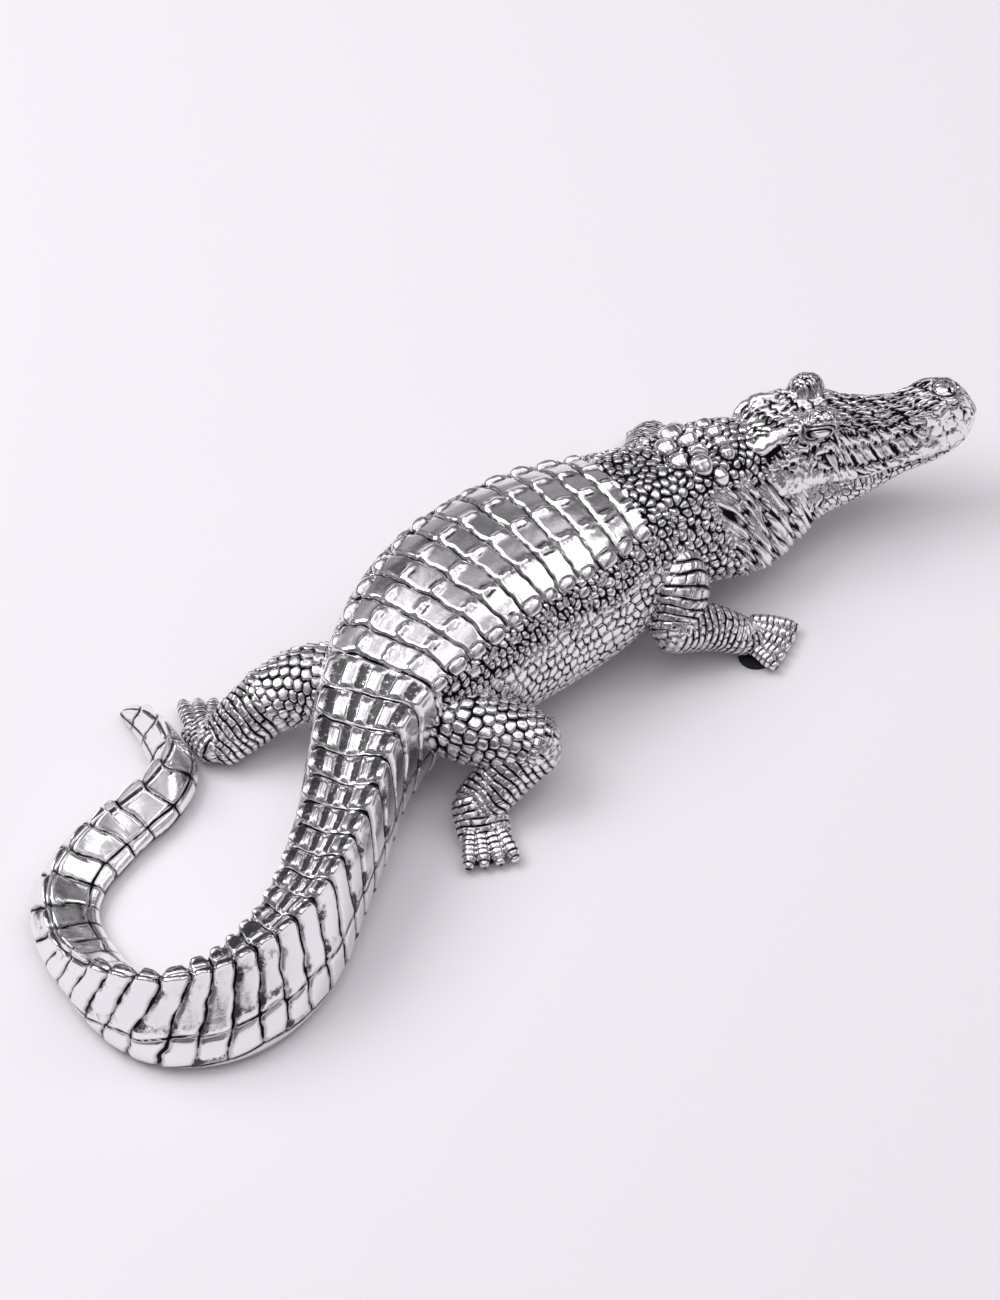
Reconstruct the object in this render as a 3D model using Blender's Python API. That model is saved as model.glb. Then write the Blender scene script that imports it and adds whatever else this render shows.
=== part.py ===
"""Crocodile sculpture, cast in one piece, with a round felt pad under each foot.

Units are metres and +Z is up. The body lies along +X with the snout at +X, and the animal's left is +Y.
The origin is the middle of the footprint at the height of the table.
"""

import math

import bmesh
import bpy
import numpy as np
from mathutils import Matrix

# Driving dimensions
LENGTH = 0.580
PAD_DIAMETER = 0.018
PAD_THICKNESS = 0.0025
PAD_GAP = 0.0003
PAD_SIDES = 20
BACK_ROW_LENGTH = 0.0146
TAIL_ROW_LENGTH = 0.0172
SCUTE_RISE = 0.0011
TAIL_CREST_RISE = 0.0042
BACK_KEEL_RISE = 0.0016
MOUTH_DEPTH = 0.0028

# The pose and the proportions are shares of the length, in thousandths of it
SHARE = LENGTH / 1000.0
SOLE = PAD_THICKNESS + PAD_GAP

# Stations of the tail, the trunk and the neck, from the tip of the tail. Each row has the place of the
# middle line (x, y), then the section: the top, the dorsal edge (out, below the top), the widest point
# (out, height), the lower corner (out, height), the underside and how far the top leans to the left.
TAIL = (
    # x, y, top, edge_out, edge_drop, wide_out, wide_up, low_out, low_up, under, lean
    (-266, 184, 7, 1.5, 1, 3, 4, 2, 3, 2, 0),
    (-267, 170, 23, 1.5, 3, 6, 9, 4, 4, 1, 0),
    (-266, 152, 37, 1.8, 4, 9, 14, 8, 4, 1, 0),
    (-267, 131, 47, 3.4, 5, 13, 19, 12, 4, 1, 0),
    (-271, 111, 53, 3.4, 5, 15, 21, 14, 4, 1, -2),
    (-277, 92, 53, 3.4, 5, 17, 21, 16, 4, 1, -4),
    (-293, 78, 48, 3.4, 5, 18, 21, 16, 4, 1, -9),
    (-317, 70, 42, 3.4, 5, 20, 19, 19, 4, 1, -12),
    (-346, 66, 38, 3.4, 5, 23, 18, 19, 4, 1, -15),
    (-374, 60, 35, 3.4, 5, 25, 17, 21, 4, 1, -19),
    (-410, 47, 35, 3.4, 5, 25, 17, 21, 4, 1, -20),
    (-436, 29, 36, 3.4, 5, 26, 17, 21, 4, 1, -20),
    (-451, 3, 38, 3.4, 5, 26, 18, 22, 4, 1, -21),
    (-458, -24, 47, 3.4, 5, 27, 21, 23, 4, 1, -24),
    (-463, -52, 64, 3.4, 5, 27, 26, 24, 4, 1, -25),
    (-464, -80, 77, 3.4, 5, 29, 28, 28, 4, 1, -21),
    (-460, -105, 86, 3, 6, 31, 29, 31, 4, 1, -15),
    (-449, -127, 88, 4, 6, 33, 29, 33, 4, 1, -8),
    (-433, -142, 89, 6, 5, 33, 30, 34, 4, 1, 0),
    (-410, -153, 89, 8, 4, 34, 31, 34, 4, 1, 5),
    (-382, -156, 90, 11, 3, 34, 32, 34, 4, 1, 8),
    (-353, -152, 91, 14, 2, 35, 34, 33, 5, 1, 7),
    (-325, -142, 93, 18, 1, 35, 37, 32, 6, 1, 5),
    (-276, -111, 95, 23, 0, 35, 43, 30, 8, 2, 1),
    (-226, -76, 99, 28, 0, 38, 47, 31, 10, 4, 0),
    (-176, -37, 109, 35, 2, 43, 54, 35, 14, 8, 0),
)
TRUNK = (
    (-125, -7, 128, 47, 8, 59, 62, 43, 21, 14, 0),
    (-66, 12, 144, 60, 13, 85, 68, 63, 27, 18, 0),
    (30, 26, 154, 68, 17, 103, 72, 77, 28, 20, 0),
    (96, 24, 152, 64, 18, 100, 72, 74, 28, 21, 0),
)
NECK = (
    (158, 19, 143, 50, 15, 88, 73, 63, 32, 26, 0),
    (209, 14, 137, 38, 10, 76, 68, 54, 31, 25, 0),
    (261, 9, 133, 35, 10, 81, 52, 56, 27, 21, 0),
    (302, -1, 126, 31, 12, 76, 52, 52, 33, 27, 0),
    (326, -10, 118, 25, 12, 62, 53, 44, 38, 31, 0),
    (352, -21, 100, 18, 12, 47, 54, 34, 44, 38, 0),
    (380, -34, 88, 12, 12, 32, 58, 24, 50, 46, 0),
)

# The tail's edges run together into one crest where it is narrower than the first of these, and into a
# plain blade below the second. The carving has its full height from the other two upwards.
ONE_CREST_EDGE = 7
BLADE_EDGE = 10
FULL_CARVING_WIDTH = 52
FULL_CREST_DEPTH = 52
CREST_RUN_IN = 100

# Where the corners of the facets lie around a section, counted in corners of the section from the top
BODY_COLUMNS = (0, 0.34, 0.67, 1.0, 1.33, 1.67, 2.0, 2.5, 3.0, 4.0)
KEEL_COLUMNS = (0.34, 1.0)
HEAD_COLUMNS = (0, 0.5, 1.0, 1.35, 1.7, 2.0, 3.0, 4.0, 4.5, 5.0, 6.0)

# Head stations from the back of the skull to the snout. Each row has the distance along the head, then
# the top, the brow (out, height), the lip (out, height), the mouth line (out, height) before its groove
# is cut in, the lower jaw (out, height), its lower corner (out, height) and the throat.
HEAD = (
    # along, top, brow, lip, mouth, jaw, corner, throat
    (-14, 114, 21, 109, 37, 87, 38, 78, 41, 66, 38, 40, 36),
    (4, 131, 26, 128, 47, 91, 48, 80, 53, 63, 46, 34, 31),
    (25, 135, 29, 134, 50, 91, 48, 83, 56, 60, 48, 34, 31),
    (60, 137, 25, 139, 42, 89, 41, 83, 48, 62, 41, 41, 35),
    (95, 128, 18, 126, 36, 79, 33, 73, 40, 61, 33, 45, 41),
    (139, 123, 13, 121, 28, 79, 26, 74, 28, 67, 23, 56, 51),
    (175, 129, 17, 127, 27, 84, 24, 77, 25, 71, 18, 63, 60),
    (196, 124, 14, 121, 23, 88, 19, 83, 19, 77, 13, 71, 69),
    (208, 111, 9, 109, 13, 94, 9, 88, 10, 81, 6, 76, 75),
    (214, 100, 3, 99, 4, 94, 3, 90, 3, 85, 2, 81, 80),
)
HEAD_PLACE = (305, 5, 0)
HEAD_YAW = math.radians(-25.5)
MOUTH_CORNER = 18

# The knobs over the eyes and the raised nostrils: where the middle of each lies, how far that is above
# the skin, and the radius along the head, outwards and upwards
EYE = {"along": 60, "out": 23, "above": 0.5, "radii": (16, 13, 14)}
NOSTRIL = {"along": 184, "out": 0, "above": 1.5, "radii": (13, 13, 6.5)}

# The big bony bumps on the nape: distance along the neck from the shield, distance out, radius. They sit
# a little to the left of the middle line, because the neck turns.
NAPE_BUMPS = ((66, 10, 11), (88, 8, 10.5), (81, 24, 11.5), (114, 7, 8), (112, 21, 8), (93, 40, 9))
NAPE_TO_LEFT = 3

# No two pieces of the casting meet along matching edges: each bump is turned about the upright by this
# much more than the one before, and the corners of a tube's rings start this share of a corner round.
BUMP_TWIST = math.radians(29)
RING_START = 0.3

# Legs: the middle line from inside the body to the elbow or knee, down to the ankle and on to the palm,
# with the half width and the half height at each place. Then come the number of toes, the distance
# between them at the root and how many degrees they turn to the left of the foot.
RIGHT_FORE = {
    # x, y, z, half_width, half_height
    "upper": ((189, -22, 72, 22, 26), (165, -62, 67, 27, 29), (145, -80, 48, 23, 24)),
    "lower": ((179, -94, 34, 20, 21), (200, -106, 20, 19, 16)),
    "foot": ((216, -109, 11, 20, 10),),
    "toes": (5, 7.5, -53),
}
LEFT_FORE = {
    "upper": ((187, 40, 72, 21, 25), (238, 70, 69, 23, 25), (268, 92, 60, 21, 22)),
    "lower": ((278, 101, 41, 18, 19), (285, 107, 22, 17, 15)),
    "foot": ((292, 113, 11, 20, 10),),
    "toes": (5, 7.5, 2),
}
RIGHT_HIND = {
    "upper": ((-110, -9, 72, 27, 29), (-79, -65, 68, 32, 32), (-42, -105, 50, 29, 30)),
    "lower": ((-72, -107, 35, 24, 24), (-104, -109, 20, 23, 16)),
    "foot": ((-116, -132, 11, 23, 10),),
    "toes": (4, 8.5, 0),
}
LEFT_HIND = {
    "upper": ((-110, 11, 72, 27, 29), (-149, 66, 60, 32, 32), (-180, 85, 42, 28, 29)),
    "lower": ((-207, 88, 30, 26, 26), (-230, 90, 18, 23, 16)),
    "foot": ((-224, 119, 11, 23, 11),),
    "toes": (4, 8.5, -26),
}
TOE_LENGTH = 31
TOE_RADIUS = 7
TOE_FAN = 9.5

# The middle of the pad under each foot
PADS = {
    "right_fore_foot_pad": (206, -122),
    "left_fore_foot_pad": (292, 111),
    "right_hind_foot_pad": (-125, -139),
    "left_hind_foot_pad": (-216, 127),
}

SILVER = (0.74, 0.73, 0.76, 1.0)
FELT = (0.02, 0.02, 0.022, 1.0)


def through(keys, values, at):
    """A smooth curve that passes through the values at the keys, read at each place in at."""
    keys = np.asarray(keys, float)
    values = np.asarray(values, float)
    slopes = np.gradient(values, keys, axis=0)
    cell = np.clip(np.searchsorted(keys, at, side="right") - 1, 0, len(keys) - 2)
    span = keys[cell + 1] - keys[cell]
    t = (at - keys[cell]) / span
    if values.ndim > 1:
        t = t[:, None]
        span = span[:, None]
    start, end = values[cell], values[cell + 1]
    leave, arrive = slopes[cell] * span, slopes[cell + 1] * span
    return (
        start * (2 * t**3 - 3 * t**2 + 1)
        + leave * (t**3 - 2 * t**2 + t)
        + end * (3 * t**2 - 2 * t**3)
        + arrive * (t**3 - t**2)
    )


def running_length(points):
    """The distance from the first point to each point, along straight steps."""
    steps = np.linalg.norm(np.diff(points, axis=0), axis=1)
    return np.concatenate(([0.0], np.cumsum(steps)))


def unit(vectors):
    """The same vectors, each one long."""
    return vectors / np.maximum(np.linalg.norm(vectors, axis=-1, keepdims=True), 1e-12)


def ring_through(corners, columns):
    """Rows of closed rings. corners is (rows, corners, 2), from the top down one side to the underside.

    The ring runs through the corners, then back up through their mirror images. columns are the
    places read along it, from 0 at the top to the last corner at the underside, on either side.
    """
    last = corners.shape[1] - 1
    mirrored = corners[:, last - 1 : 0 : -1] * (-1.0, 1.0)
    closed = np.concatenate((corners, mirrored), axis=1)
    padded = np.concatenate((closed[:, -2:], closed, closed[:, :3]), axis=1)
    places = np.concatenate((columns, 2 * last - columns[-2:0:-1]))
    keys = np.arange(-2, closed.shape[1] + 3)
    flat = padded.transpose(1, 0, 2).reshape(len(keys), -1)
    read = through(keys, flat, places)
    return read.reshape(len(places), len(corners), 2).transpose(1, 0, 2), places


def surface_normals(grid):
    """Outward unit normals of a grid of rings."""
    along = np.gradient(grid, axis=0)
    around = np.roll(grid, -1, axis=1) - np.roll(grid, 1, axis=1)
    normals = unit(np.cross(around, along))
    inside = grid.mean(axis=1, keepdims=True)
    outward = np.sign(((grid - inside) * normals).sum(axis=(1, 2)))
    return normals * outward[:, None, None]


def new_object(name, mesh, material):
    """Puts a mesh in the scene with its material."""
    thing = bpy.data.objects.new(name, mesh)
    thing.data.materials.append(material)
    bpy.context.scene.collection.objects.link(thing)
    return thing


def skin(name, grid, material):
    """A closed mesh over a grid of rings, with a flat face over each end."""
    rows, columns = grid.shape[:2]
    index = np.arange(rows * columns).reshape(rows, columns)
    after = np.roll(index, -1, axis=1)
    quads = np.stack((index[:-1], after[:-1], after[1:], index[1:]), axis=-1).reshape(-1, 4)
    faces = quads.tolist() + [index[0].tolist(), index[-1].tolist()]
    mesh = bpy.data.meshes.new(name)
    mesh.from_pydata(grid.reshape(-1, 3).tolist(), [], faces)
    work = bmesh.new()
    work.from_mesh(mesh)
    bmesh.ops.recalc_face_normals(work, faces=work.faces)
    bmesh.ops.triangulate(work, faces=[f for f in work.faces if len(f.verts) > 4])
    work.to_mesh(mesh)
    work.free()
    return new_object(name, mesh, material)


def fuse(whole, pieces):
    """Joins the pieces into the whole as one casting, all at once, and removes them."""
    group = bpy.data.collections.new("pieces of the casting")
    for piece in pieces:
        group.objects.link(piece)
    join = whole.modifiers.new("join the pieces", "BOOLEAN")
    join.operation = "UNION"
    join.solver = "EXACT"
    join.operand_type = "COLLECTION"
    join.collection = group
    bake_modifiers(whole)
    for piece in pieces:
        bpy.data.objects.remove(piece)
    bpy.data.collections.remove(group)


def bake_modifiers(thing):
    """Gives the object the mesh that its modifiers make."""
    evaluated = thing.evaluated_get(bpy.context.evaluated_depsgraph_get())
    mesh = bpy.data.meshes.new_from_object(evaluated)
    thing.modifiers.clear()
    thing.data = mesh


def body_stations():
    """The stations of the whole body in metres, their distances from the tip, the hip and the shield's front."""
    table = np.array(TAIL + TRUNK + NECK, float) * SHARE
    distance = running_length(table[:, :2])
    return table, distance, distance[len(TAIL)], distance[len(TAIL) + len(TRUNK)]


def body_frame(at):
    """The stations of the body, read at distances along its middle line, in metres."""
    table, distance, _, _ = body_stations()
    return through(distance, table, at)


def body_heading(at):
    """The way the middle line runs towards the head at each distance along it."""
    reach = LENGTH * 0.004
    return unit(body_frame(at + reach)[:, :2] - body_frame(at - reach)[:, :2])


def body_row_places():
    """Distances of the body's rings: a groove and a raised edge for every row of scutes."""
    _, distance, hip, _ = body_stations()
    tail_rows = round(hip / TAIL_ROW_LENGTH)
    body_rows = round((distance[-1] - hip) / BACK_ROW_LENGTH)
    grooves = np.concatenate(
        (
            np.linspace(0, hip, tail_rows + 1),
            np.linspace(hip, distance[-1], body_rows + 1)[1:],
        )
    )
    edges = grooves[:-1] + 0.22 * np.diff(grooves)
    places = np.sort(np.concatenate((grooves, edges)))
    raised = np.isin(places, edges)
    return places, raised, hip


def body_skin(material):
    """The tail, trunk and neck as one loft, with raised rows of scutes."""
    places, raised, hip = body_row_places()
    at = body_frame(places)
    line = at[:, :2]
    heading = body_heading(places)
    left = np.stack((-heading[:, 1], heading[:, 0]), axis=-1)
    top, edge_out, edge_drop, wide_out, wide_up, low_out, low_up, under, lean = at[:, 2:].T
    nothing = np.zeros_like(top)
    corners = np.stack(
        (
            np.stack((nothing, top), axis=-1),
            np.stack((edge_out, top - edge_drop), axis=-1),
            np.stack((wide_out, wide_up), axis=-1),
            np.stack((low_out, low_up), axis=-1),
            np.stack((nothing, under), axis=-1),
        ),
        axis=1,
    )
    ring, where = ring_through(corners, np.array(BODY_COLUMNS))
    out, up = ring[..., 0], ring[..., 1]
    tilt = lean[:, None] * (up - under[:, None]) / (top - under)[:, None]
    across = out + tilt
    grid = np.concatenate(
        (line[:, None, :] + across[..., None] * left[:, None, :], up[..., None]), axis=-1
    )
    normals = surface_normals(grid)
    side = np.minimum(where, 8 - where)
    on_back = np.clip(3.2 - side, 0, 1)
    size = np.clip(wide_out / (FULL_CARVING_WIDTH * SHARE), 0.2, 1.0)
    rise = np.where(raised[:, None], SCUTE_RISE, -SCUTE_RISE * 0.6) * on_back * size[:, None]
    in_tail = np.clip((hip - places) / (CREST_RUN_IN * SHARE), 0, 1)
    slim = np.clip((top - under) / (FULL_CREST_DEPTH * SHARE), 0.2, 1)
    crest_side = np.where(edge_out > ONE_CREST_EDGE * SHARE, 1.0, 0.0)[:, None]
    crest = np.exp(-(((side - crest_side) / 0.36) ** 2))
    tall = crest * (in_tail * slim * raised)[:, None] * TAIL_CREST_RISE
    keel = np.isin(np.round(side, 2), KEEL_COLUMNS) * (1 - in_tail)[:, None]
    rise = rise + keel * raised[:, None] * BACK_KEEL_RISE
    blade = np.clip(1.5 - edge_out / (BLADE_EDGE * SHARE), 0, 1)[:, None]
    rise = rise * (1 - blade * np.clip(1.6 - side, 0, 1))
    rise[0] = 0
    rise[-1] = 0
    upright = np.concatenate((left * lean[:, None], (top - under)[:, None]), axis=1)
    upright = unit(upright)[:, None, :]
    return skin("crocodile", grid + normals * rise[..., None] + upright * tall[..., None], material)


def head_place(along, out, up):
    """A point of the head, given along the skull, out to the left and up, in metres in the world."""
    x, z = along, up
    place = np.array(HEAD_PLACE, float) * SHARE
    return np.stack(
        (
            place[0] + x * math.cos(HEAD_YAW) - out * math.sin(HEAD_YAW),
            place[1] + x * math.sin(HEAD_YAW) + out * math.cos(HEAD_YAW),
            place[2] + z,
        ),
        axis=-1,
    )


def head_skin(material):
    """The skull and jaws as one loft from the nape to the tip of the snout."""
    table = np.array(HEAD, float) * SHARE
    steps = np.linspace(0, 1, 22)
    along_keys = table[:, 0]
    places = along_keys[0] + (along_keys[-1] - along_keys[0]) * np.sin(steps * math.pi / 2) ** 1.1
    at = through(along_keys, table, places)
    cut_in = np.clip((places / SHARE - MOUTH_CORNER) / 10, 0, 1) * np.clip(at[:, 6] / (20 * SHARE), 0, 1)
    at[:, 6] = at[:, 6] - cut_in * MOUTH_DEPTH
    nothing = np.zeros(len(places))
    corners = np.stack(
        (
            np.stack((nothing, at[:, 1]), axis=-1),
            at[:, 2:4],
            at[:, 4:6],
            at[:, 6:8],
            at[:, 8:10],
            at[:, 10:12],
            np.stack((nothing, at[:, 12]), axis=-1),
        ),
        axis=1,
    )
    ring, _ = ring_through(corners, np.array(HEAD_COLUMNS))
    grid = head_place(at[:, 0][:, None], ring[..., 0], ring[..., 1])
    return skin("head", grid, material)


def skull_top(along, out):
    """The height of the skull's skin at a place given along it and out from its middle, in thousandths."""
    table = np.array(HEAD, float)
    _, top, brow_out, brow_up = through(table[:, 0], table, np.array([along], float))[0, :4]
    return top - (top - brow_up) * (out / brow_out) ** 2


def dome(name, place, radii, turn, material):
    """A faceted ball with its own radius along each axis, turned about the upright."""
    mesh = bpy.data.meshes.new(name)
    work = bmesh.new()
    bmesh.ops.create_icosphere(work, subdivisions=2, radius=1.0)
    bmesh.ops.scale(work, verts=work.verts, vec=radii)
    bmesh.ops.rotate(work, verts=work.verts, matrix=Matrix.Rotation(turn, 3, "Z"))
    bmesh.ops.translate(work, verts=work.verts, vec=place)
    work.to_mesh(mesh)
    work.free()
    return new_object(name, mesh, material)


def head_domes(material):
    """The two knobs over the eyes and the raised nostrils, each seated on the skin of the skull."""
    made = []
    for name, knob, side in (("left eye", EYE, 1), ("right eye", EYE, -1), ("nostrils", NOSTRIL, 1)):
        up = skull_top(knob["along"], knob["out"]) + knob["above"]
        place = head_place(*(np.array((knob["along"], side * knob["out"], up)) * SHARE))
        made.append(dome(name, place, np.array(knob["radii"]) * SHARE, HEAD_YAW, material))
    return made


def nape_domes(material):
    """The paired bony bumps behind the head."""
    shield_front = body_stations()[3]
    made = []
    for number, (ahead, out, radius) in enumerate(NAPE_BUMPS):
        place = np.array([shield_front + ahead * SHARE])
        here, heading = body_frame(place)[0], body_heading(place)[0]
        left = np.array((-heading[1], heading[0]))
        for side in (-1, 1):
            flat = here[:2] + left * (side * out + NAPE_TO_LEFT) * SHARE
            drop = here[4] * (out * SHARE / here[3]) ** 2
            ball = radius * SHARE
            seat = (*flat, here[2] - drop - ball * 0.2)
            turn = math.atan2(heading[1], heading[0]) + (2 * number + side) * BUMP_TWIST
            made.append(dome("nape bump", seat, (ball, ball, ball), turn, material))
    return made


def tube_frame(line):
    """The sideways and upright directions along a line that never runs straight up."""
    heading = unit(np.gradient(line, axis=0))
    across = unit(np.cross(heading, (0.0, 0.0, 1.0)))
    return across, np.cross(across, heading)


def tube_grid(line, half_width, half_height, sides):
    """Rings of an oval tube along a line."""
    across, upright = tube_frame(line)
    turn = (np.arange(sides) + RING_START) * 2 * math.pi / sides
    return (
        line[:, None, :]
        + across[:, None, :] * (np.cos(turn)[None, :] * half_width[:, None])[..., None]
        + upright[:, None, :] * (np.sin(turn)[None, :] * half_height[:, None])[..., None]
    )


def rounded_tube(name, table, rings, sides, material):
    """An oval tube along its stations, closed by a rounded end at both ends."""
    distance = running_length(table[:, :3])
    at = through(distance, table, np.linspace(0, distance[-1], rings))
    line, width, height = at[:, :3], at[:, 3], at[:, 4]
    heading = unit(np.gradient(line, axis=0))
    share, shrink = np.array((0.85, 0.5)), np.array((0.45, 0.85))
    reach = 0.8 * np.minimum(width, height)
    before = line[0] - heading[0] * (share * reach[0])[:, None]
    beyond = line[-1] + heading[-1] * (share[::-1] * reach[-1])[:, None]
    line = np.concatenate((before, line, beyond))
    width = np.concatenate((shrink * width[0], width, shrink[::-1] * width[-1]))
    height = np.concatenate((shrink * height[0], height, shrink[::-1] * height[-1]))
    return skin(name, tube_grid(line, width, height, sides), material)


def limb(name, leg, material):
    """A leg in three parts that meet at the elbow or knee and at the ankle, with its toes, to be fused."""
    table = np.array(leg["upper"] + leg["lower"] + leg["foot"], float) * SHARE
    joint = len(leg["upper"]) - 1
    ankle = joint + len(leg["lower"])
    made = [
        rounded_tube(name, table[: joint + 1], 5, 12, material),
        rounded_tube(name + " shank", table[joint : ankle + 1], 5, 12, material),
        rounded_tube(name + " foot", table[ankle:], 3, 12, material),
    ]
    palm = table[-1, :3]
    foot = palm - table[ankle, :3]
    toes, gap, turned = leg["toes"]
    facing = math.atan2(foot[1], foot[0]) + math.radians(turned)
    aside = np.array((-math.sin(facing), math.cos(facing), 0.0))
    length, radius = TOE_LENGTH * SHARE, TOE_RADIUS * SHARE
    for number in range(toes):
        place = number - (toes - 1) / 2
        turn = facing + math.radians(place * TOE_FAN)
        ahead = np.array((math.cos(turn), math.sin(turn), 0.0))
        shares = np.array((-0.2, 0.15, 0.5, 0.8, 1.0))
        line = palm + aside * (place * gap * SHARE) + ahead * (shares * length)[:, None]
        line[:, 2] = SOLE + radius * np.array((1.3, 1.2, 0.9, 0.55, 0.3))
        girth = radius * np.array((0.9, 1.0, 0.95, 0.75, 0.35))
        made.append(skin(f"{name} toe {number}", tube_grid(line, girth, girth, 6), material))
    return made


def pad(name, centre, material):
    """A round felt pad on the table under a foot."""
    mesh = bpy.data.meshes.new(name)
    work = bmesh.new()
    bmesh.ops.create_cone(
        work,
        cap_ends=True,
        segments=PAD_SIDES,
        radius1=PAD_DIAMETER / 2,
        radius2=PAD_DIAMETER / 2,
        depth=PAD_THICKNESS,
    )
    bmesh.ops.translate(work, verts=work.verts, vec=(centre[0], centre[1], PAD_THICKNESS / 2))
    work.to_mesh(mesh)
    work.free()
    return new_object(name, mesh, material)


def level_soles(whole):
    """Cuts everything below the soles off flat, so that the casting sits on its pads."""
    block = bpy.data.meshes.new("below the soles")
    work = bmesh.new()
    bmesh.ops.create_cube(work, size=1.0)
    bmesh.ops.scale(work, verts=work.verts, vec=(3 * LENGTH, 3 * LENGTH, LENGTH))
    bmesh.ops.translate(work, verts=work.verts, vec=(0, 0, SOLE - LENGTH / 2))
    work.to_mesh(block)
    work.free()
    cutter = bpy.data.objects.new("below the soles", block)
    bpy.context.scene.collection.objects.link(cutter)
    cut = whole.modifiers.new("level soles", "BOOLEAN")
    cut.operation = "DIFFERENCE"
    cut.solver = "EXACT"
    cut.object = cutter
    bake_modifiers(whole)
    bpy.data.objects.remove(cutter)


def centre_footprint():
    """Moves every part together so that the middle of the whole footprint is at the origin."""
    things = [thing for thing in bpy.data.objects if thing.type == "MESH"]
    corners = np.array([vertex.co for thing in things for vertex in thing.data.vertices])
    middle = (corners.min(axis=0) + corners.max(axis=0)) / 2
    for thing in things:
        for vertex in thing.data.vertices:
            vertex.co.x -= middle[0]
            vertex.co.y -= middle[1]


def finish(name, colour, metallic, roughness):
    """A Principled material for one part."""
    material = bpy.data.materials.new(name)
    material.use_nodes = True
    shader = material.node_tree.nodes["Principled BSDF"]
    shader.inputs["Base Color"].default_value = colour
    shader.inputs["Metallic"].default_value = metallic
    shader.inputs["Roughness"].default_value = roughness
    return material


def main():
    for thing in list(bpy.data.objects):
        bpy.data.objects.remove(thing)
    silver = finish("antiqued silver", SILVER, 1.0, 0.25)
    felt = finish("black felt", FELT, 0.0, 0.95)
    whole = body_skin(silver)
    pieces = [head_skin(silver), *head_domes(silver), *nape_domes(silver)]
    for name, leg in (
        ("right fore leg", RIGHT_FORE),
        ("left fore leg", LEFT_FORE),
        ("right hind leg", RIGHT_HIND),
        ("left hind leg", LEFT_HIND),
    ):
        pieces += limb(name, leg, silver)
    fuse(whole, pieces)
    level_soles(whole)
    for name, place in PADS.items():
        pad(name, np.array(place, float) * SHARE, felt)
    centre_footprint()


main()
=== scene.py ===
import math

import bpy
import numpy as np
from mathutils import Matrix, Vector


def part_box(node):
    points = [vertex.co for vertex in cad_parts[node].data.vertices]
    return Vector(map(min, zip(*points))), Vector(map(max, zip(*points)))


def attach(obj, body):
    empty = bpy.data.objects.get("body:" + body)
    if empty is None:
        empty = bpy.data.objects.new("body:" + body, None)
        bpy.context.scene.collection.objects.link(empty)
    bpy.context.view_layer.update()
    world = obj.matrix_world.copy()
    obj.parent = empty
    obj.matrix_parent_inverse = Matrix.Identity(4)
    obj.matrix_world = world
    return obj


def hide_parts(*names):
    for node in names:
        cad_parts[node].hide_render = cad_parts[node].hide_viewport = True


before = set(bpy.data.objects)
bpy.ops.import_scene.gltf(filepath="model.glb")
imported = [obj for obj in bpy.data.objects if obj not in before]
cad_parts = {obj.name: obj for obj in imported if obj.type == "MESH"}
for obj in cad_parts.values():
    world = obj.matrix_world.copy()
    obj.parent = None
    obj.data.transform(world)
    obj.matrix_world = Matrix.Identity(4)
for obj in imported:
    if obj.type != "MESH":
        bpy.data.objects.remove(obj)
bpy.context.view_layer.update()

# %% [markdown]
# # A silver-plated crocodile, cast in one piece
#
# The object is a table sculpture of a walking crocodile with its tail curled round beside it. A sculptor
# carves the model once, with every scute and pebble, and it is cast in resin and plated. The plating is then
# blackened and wiped, so the black stays in the grooves and the high places shine.
#
# The lesson follows the same order. First come the smooth volumes, then the carving laid over them as
# heights, then the plating with its black, and last the table, the light and the camera.

# %% [markdown]
# ## Measurements
#
# All of the pose is given in thousandths of the animal's length, from the snout to the outer bend of the
# tail. The casting stands on four felt pads, so nothing of it comes lower than the soles.

# %% Measurements
LENGTH = 0.580
SHARE = LENGTH / 1000.0
SOLE = 0.0028
BACK_ROW_LENGTH = 0.0146
TAIL_ROW_LENGTHS = (
    # thousandths from the tip, millimetres
    (0, 16.5), (250, 16.0), (330, 13.0), (390, 11.0), (480, 11.2),
    (560, 12.5), (640, 14.5), (700, 16.0), (810, 17.0),
)
# Millimetres from a groove, past which the distance no longer matters.
FAR = 3.0
MOUTH_DEPTH = 0.0028
MOUTH_CORNER = 18

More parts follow.
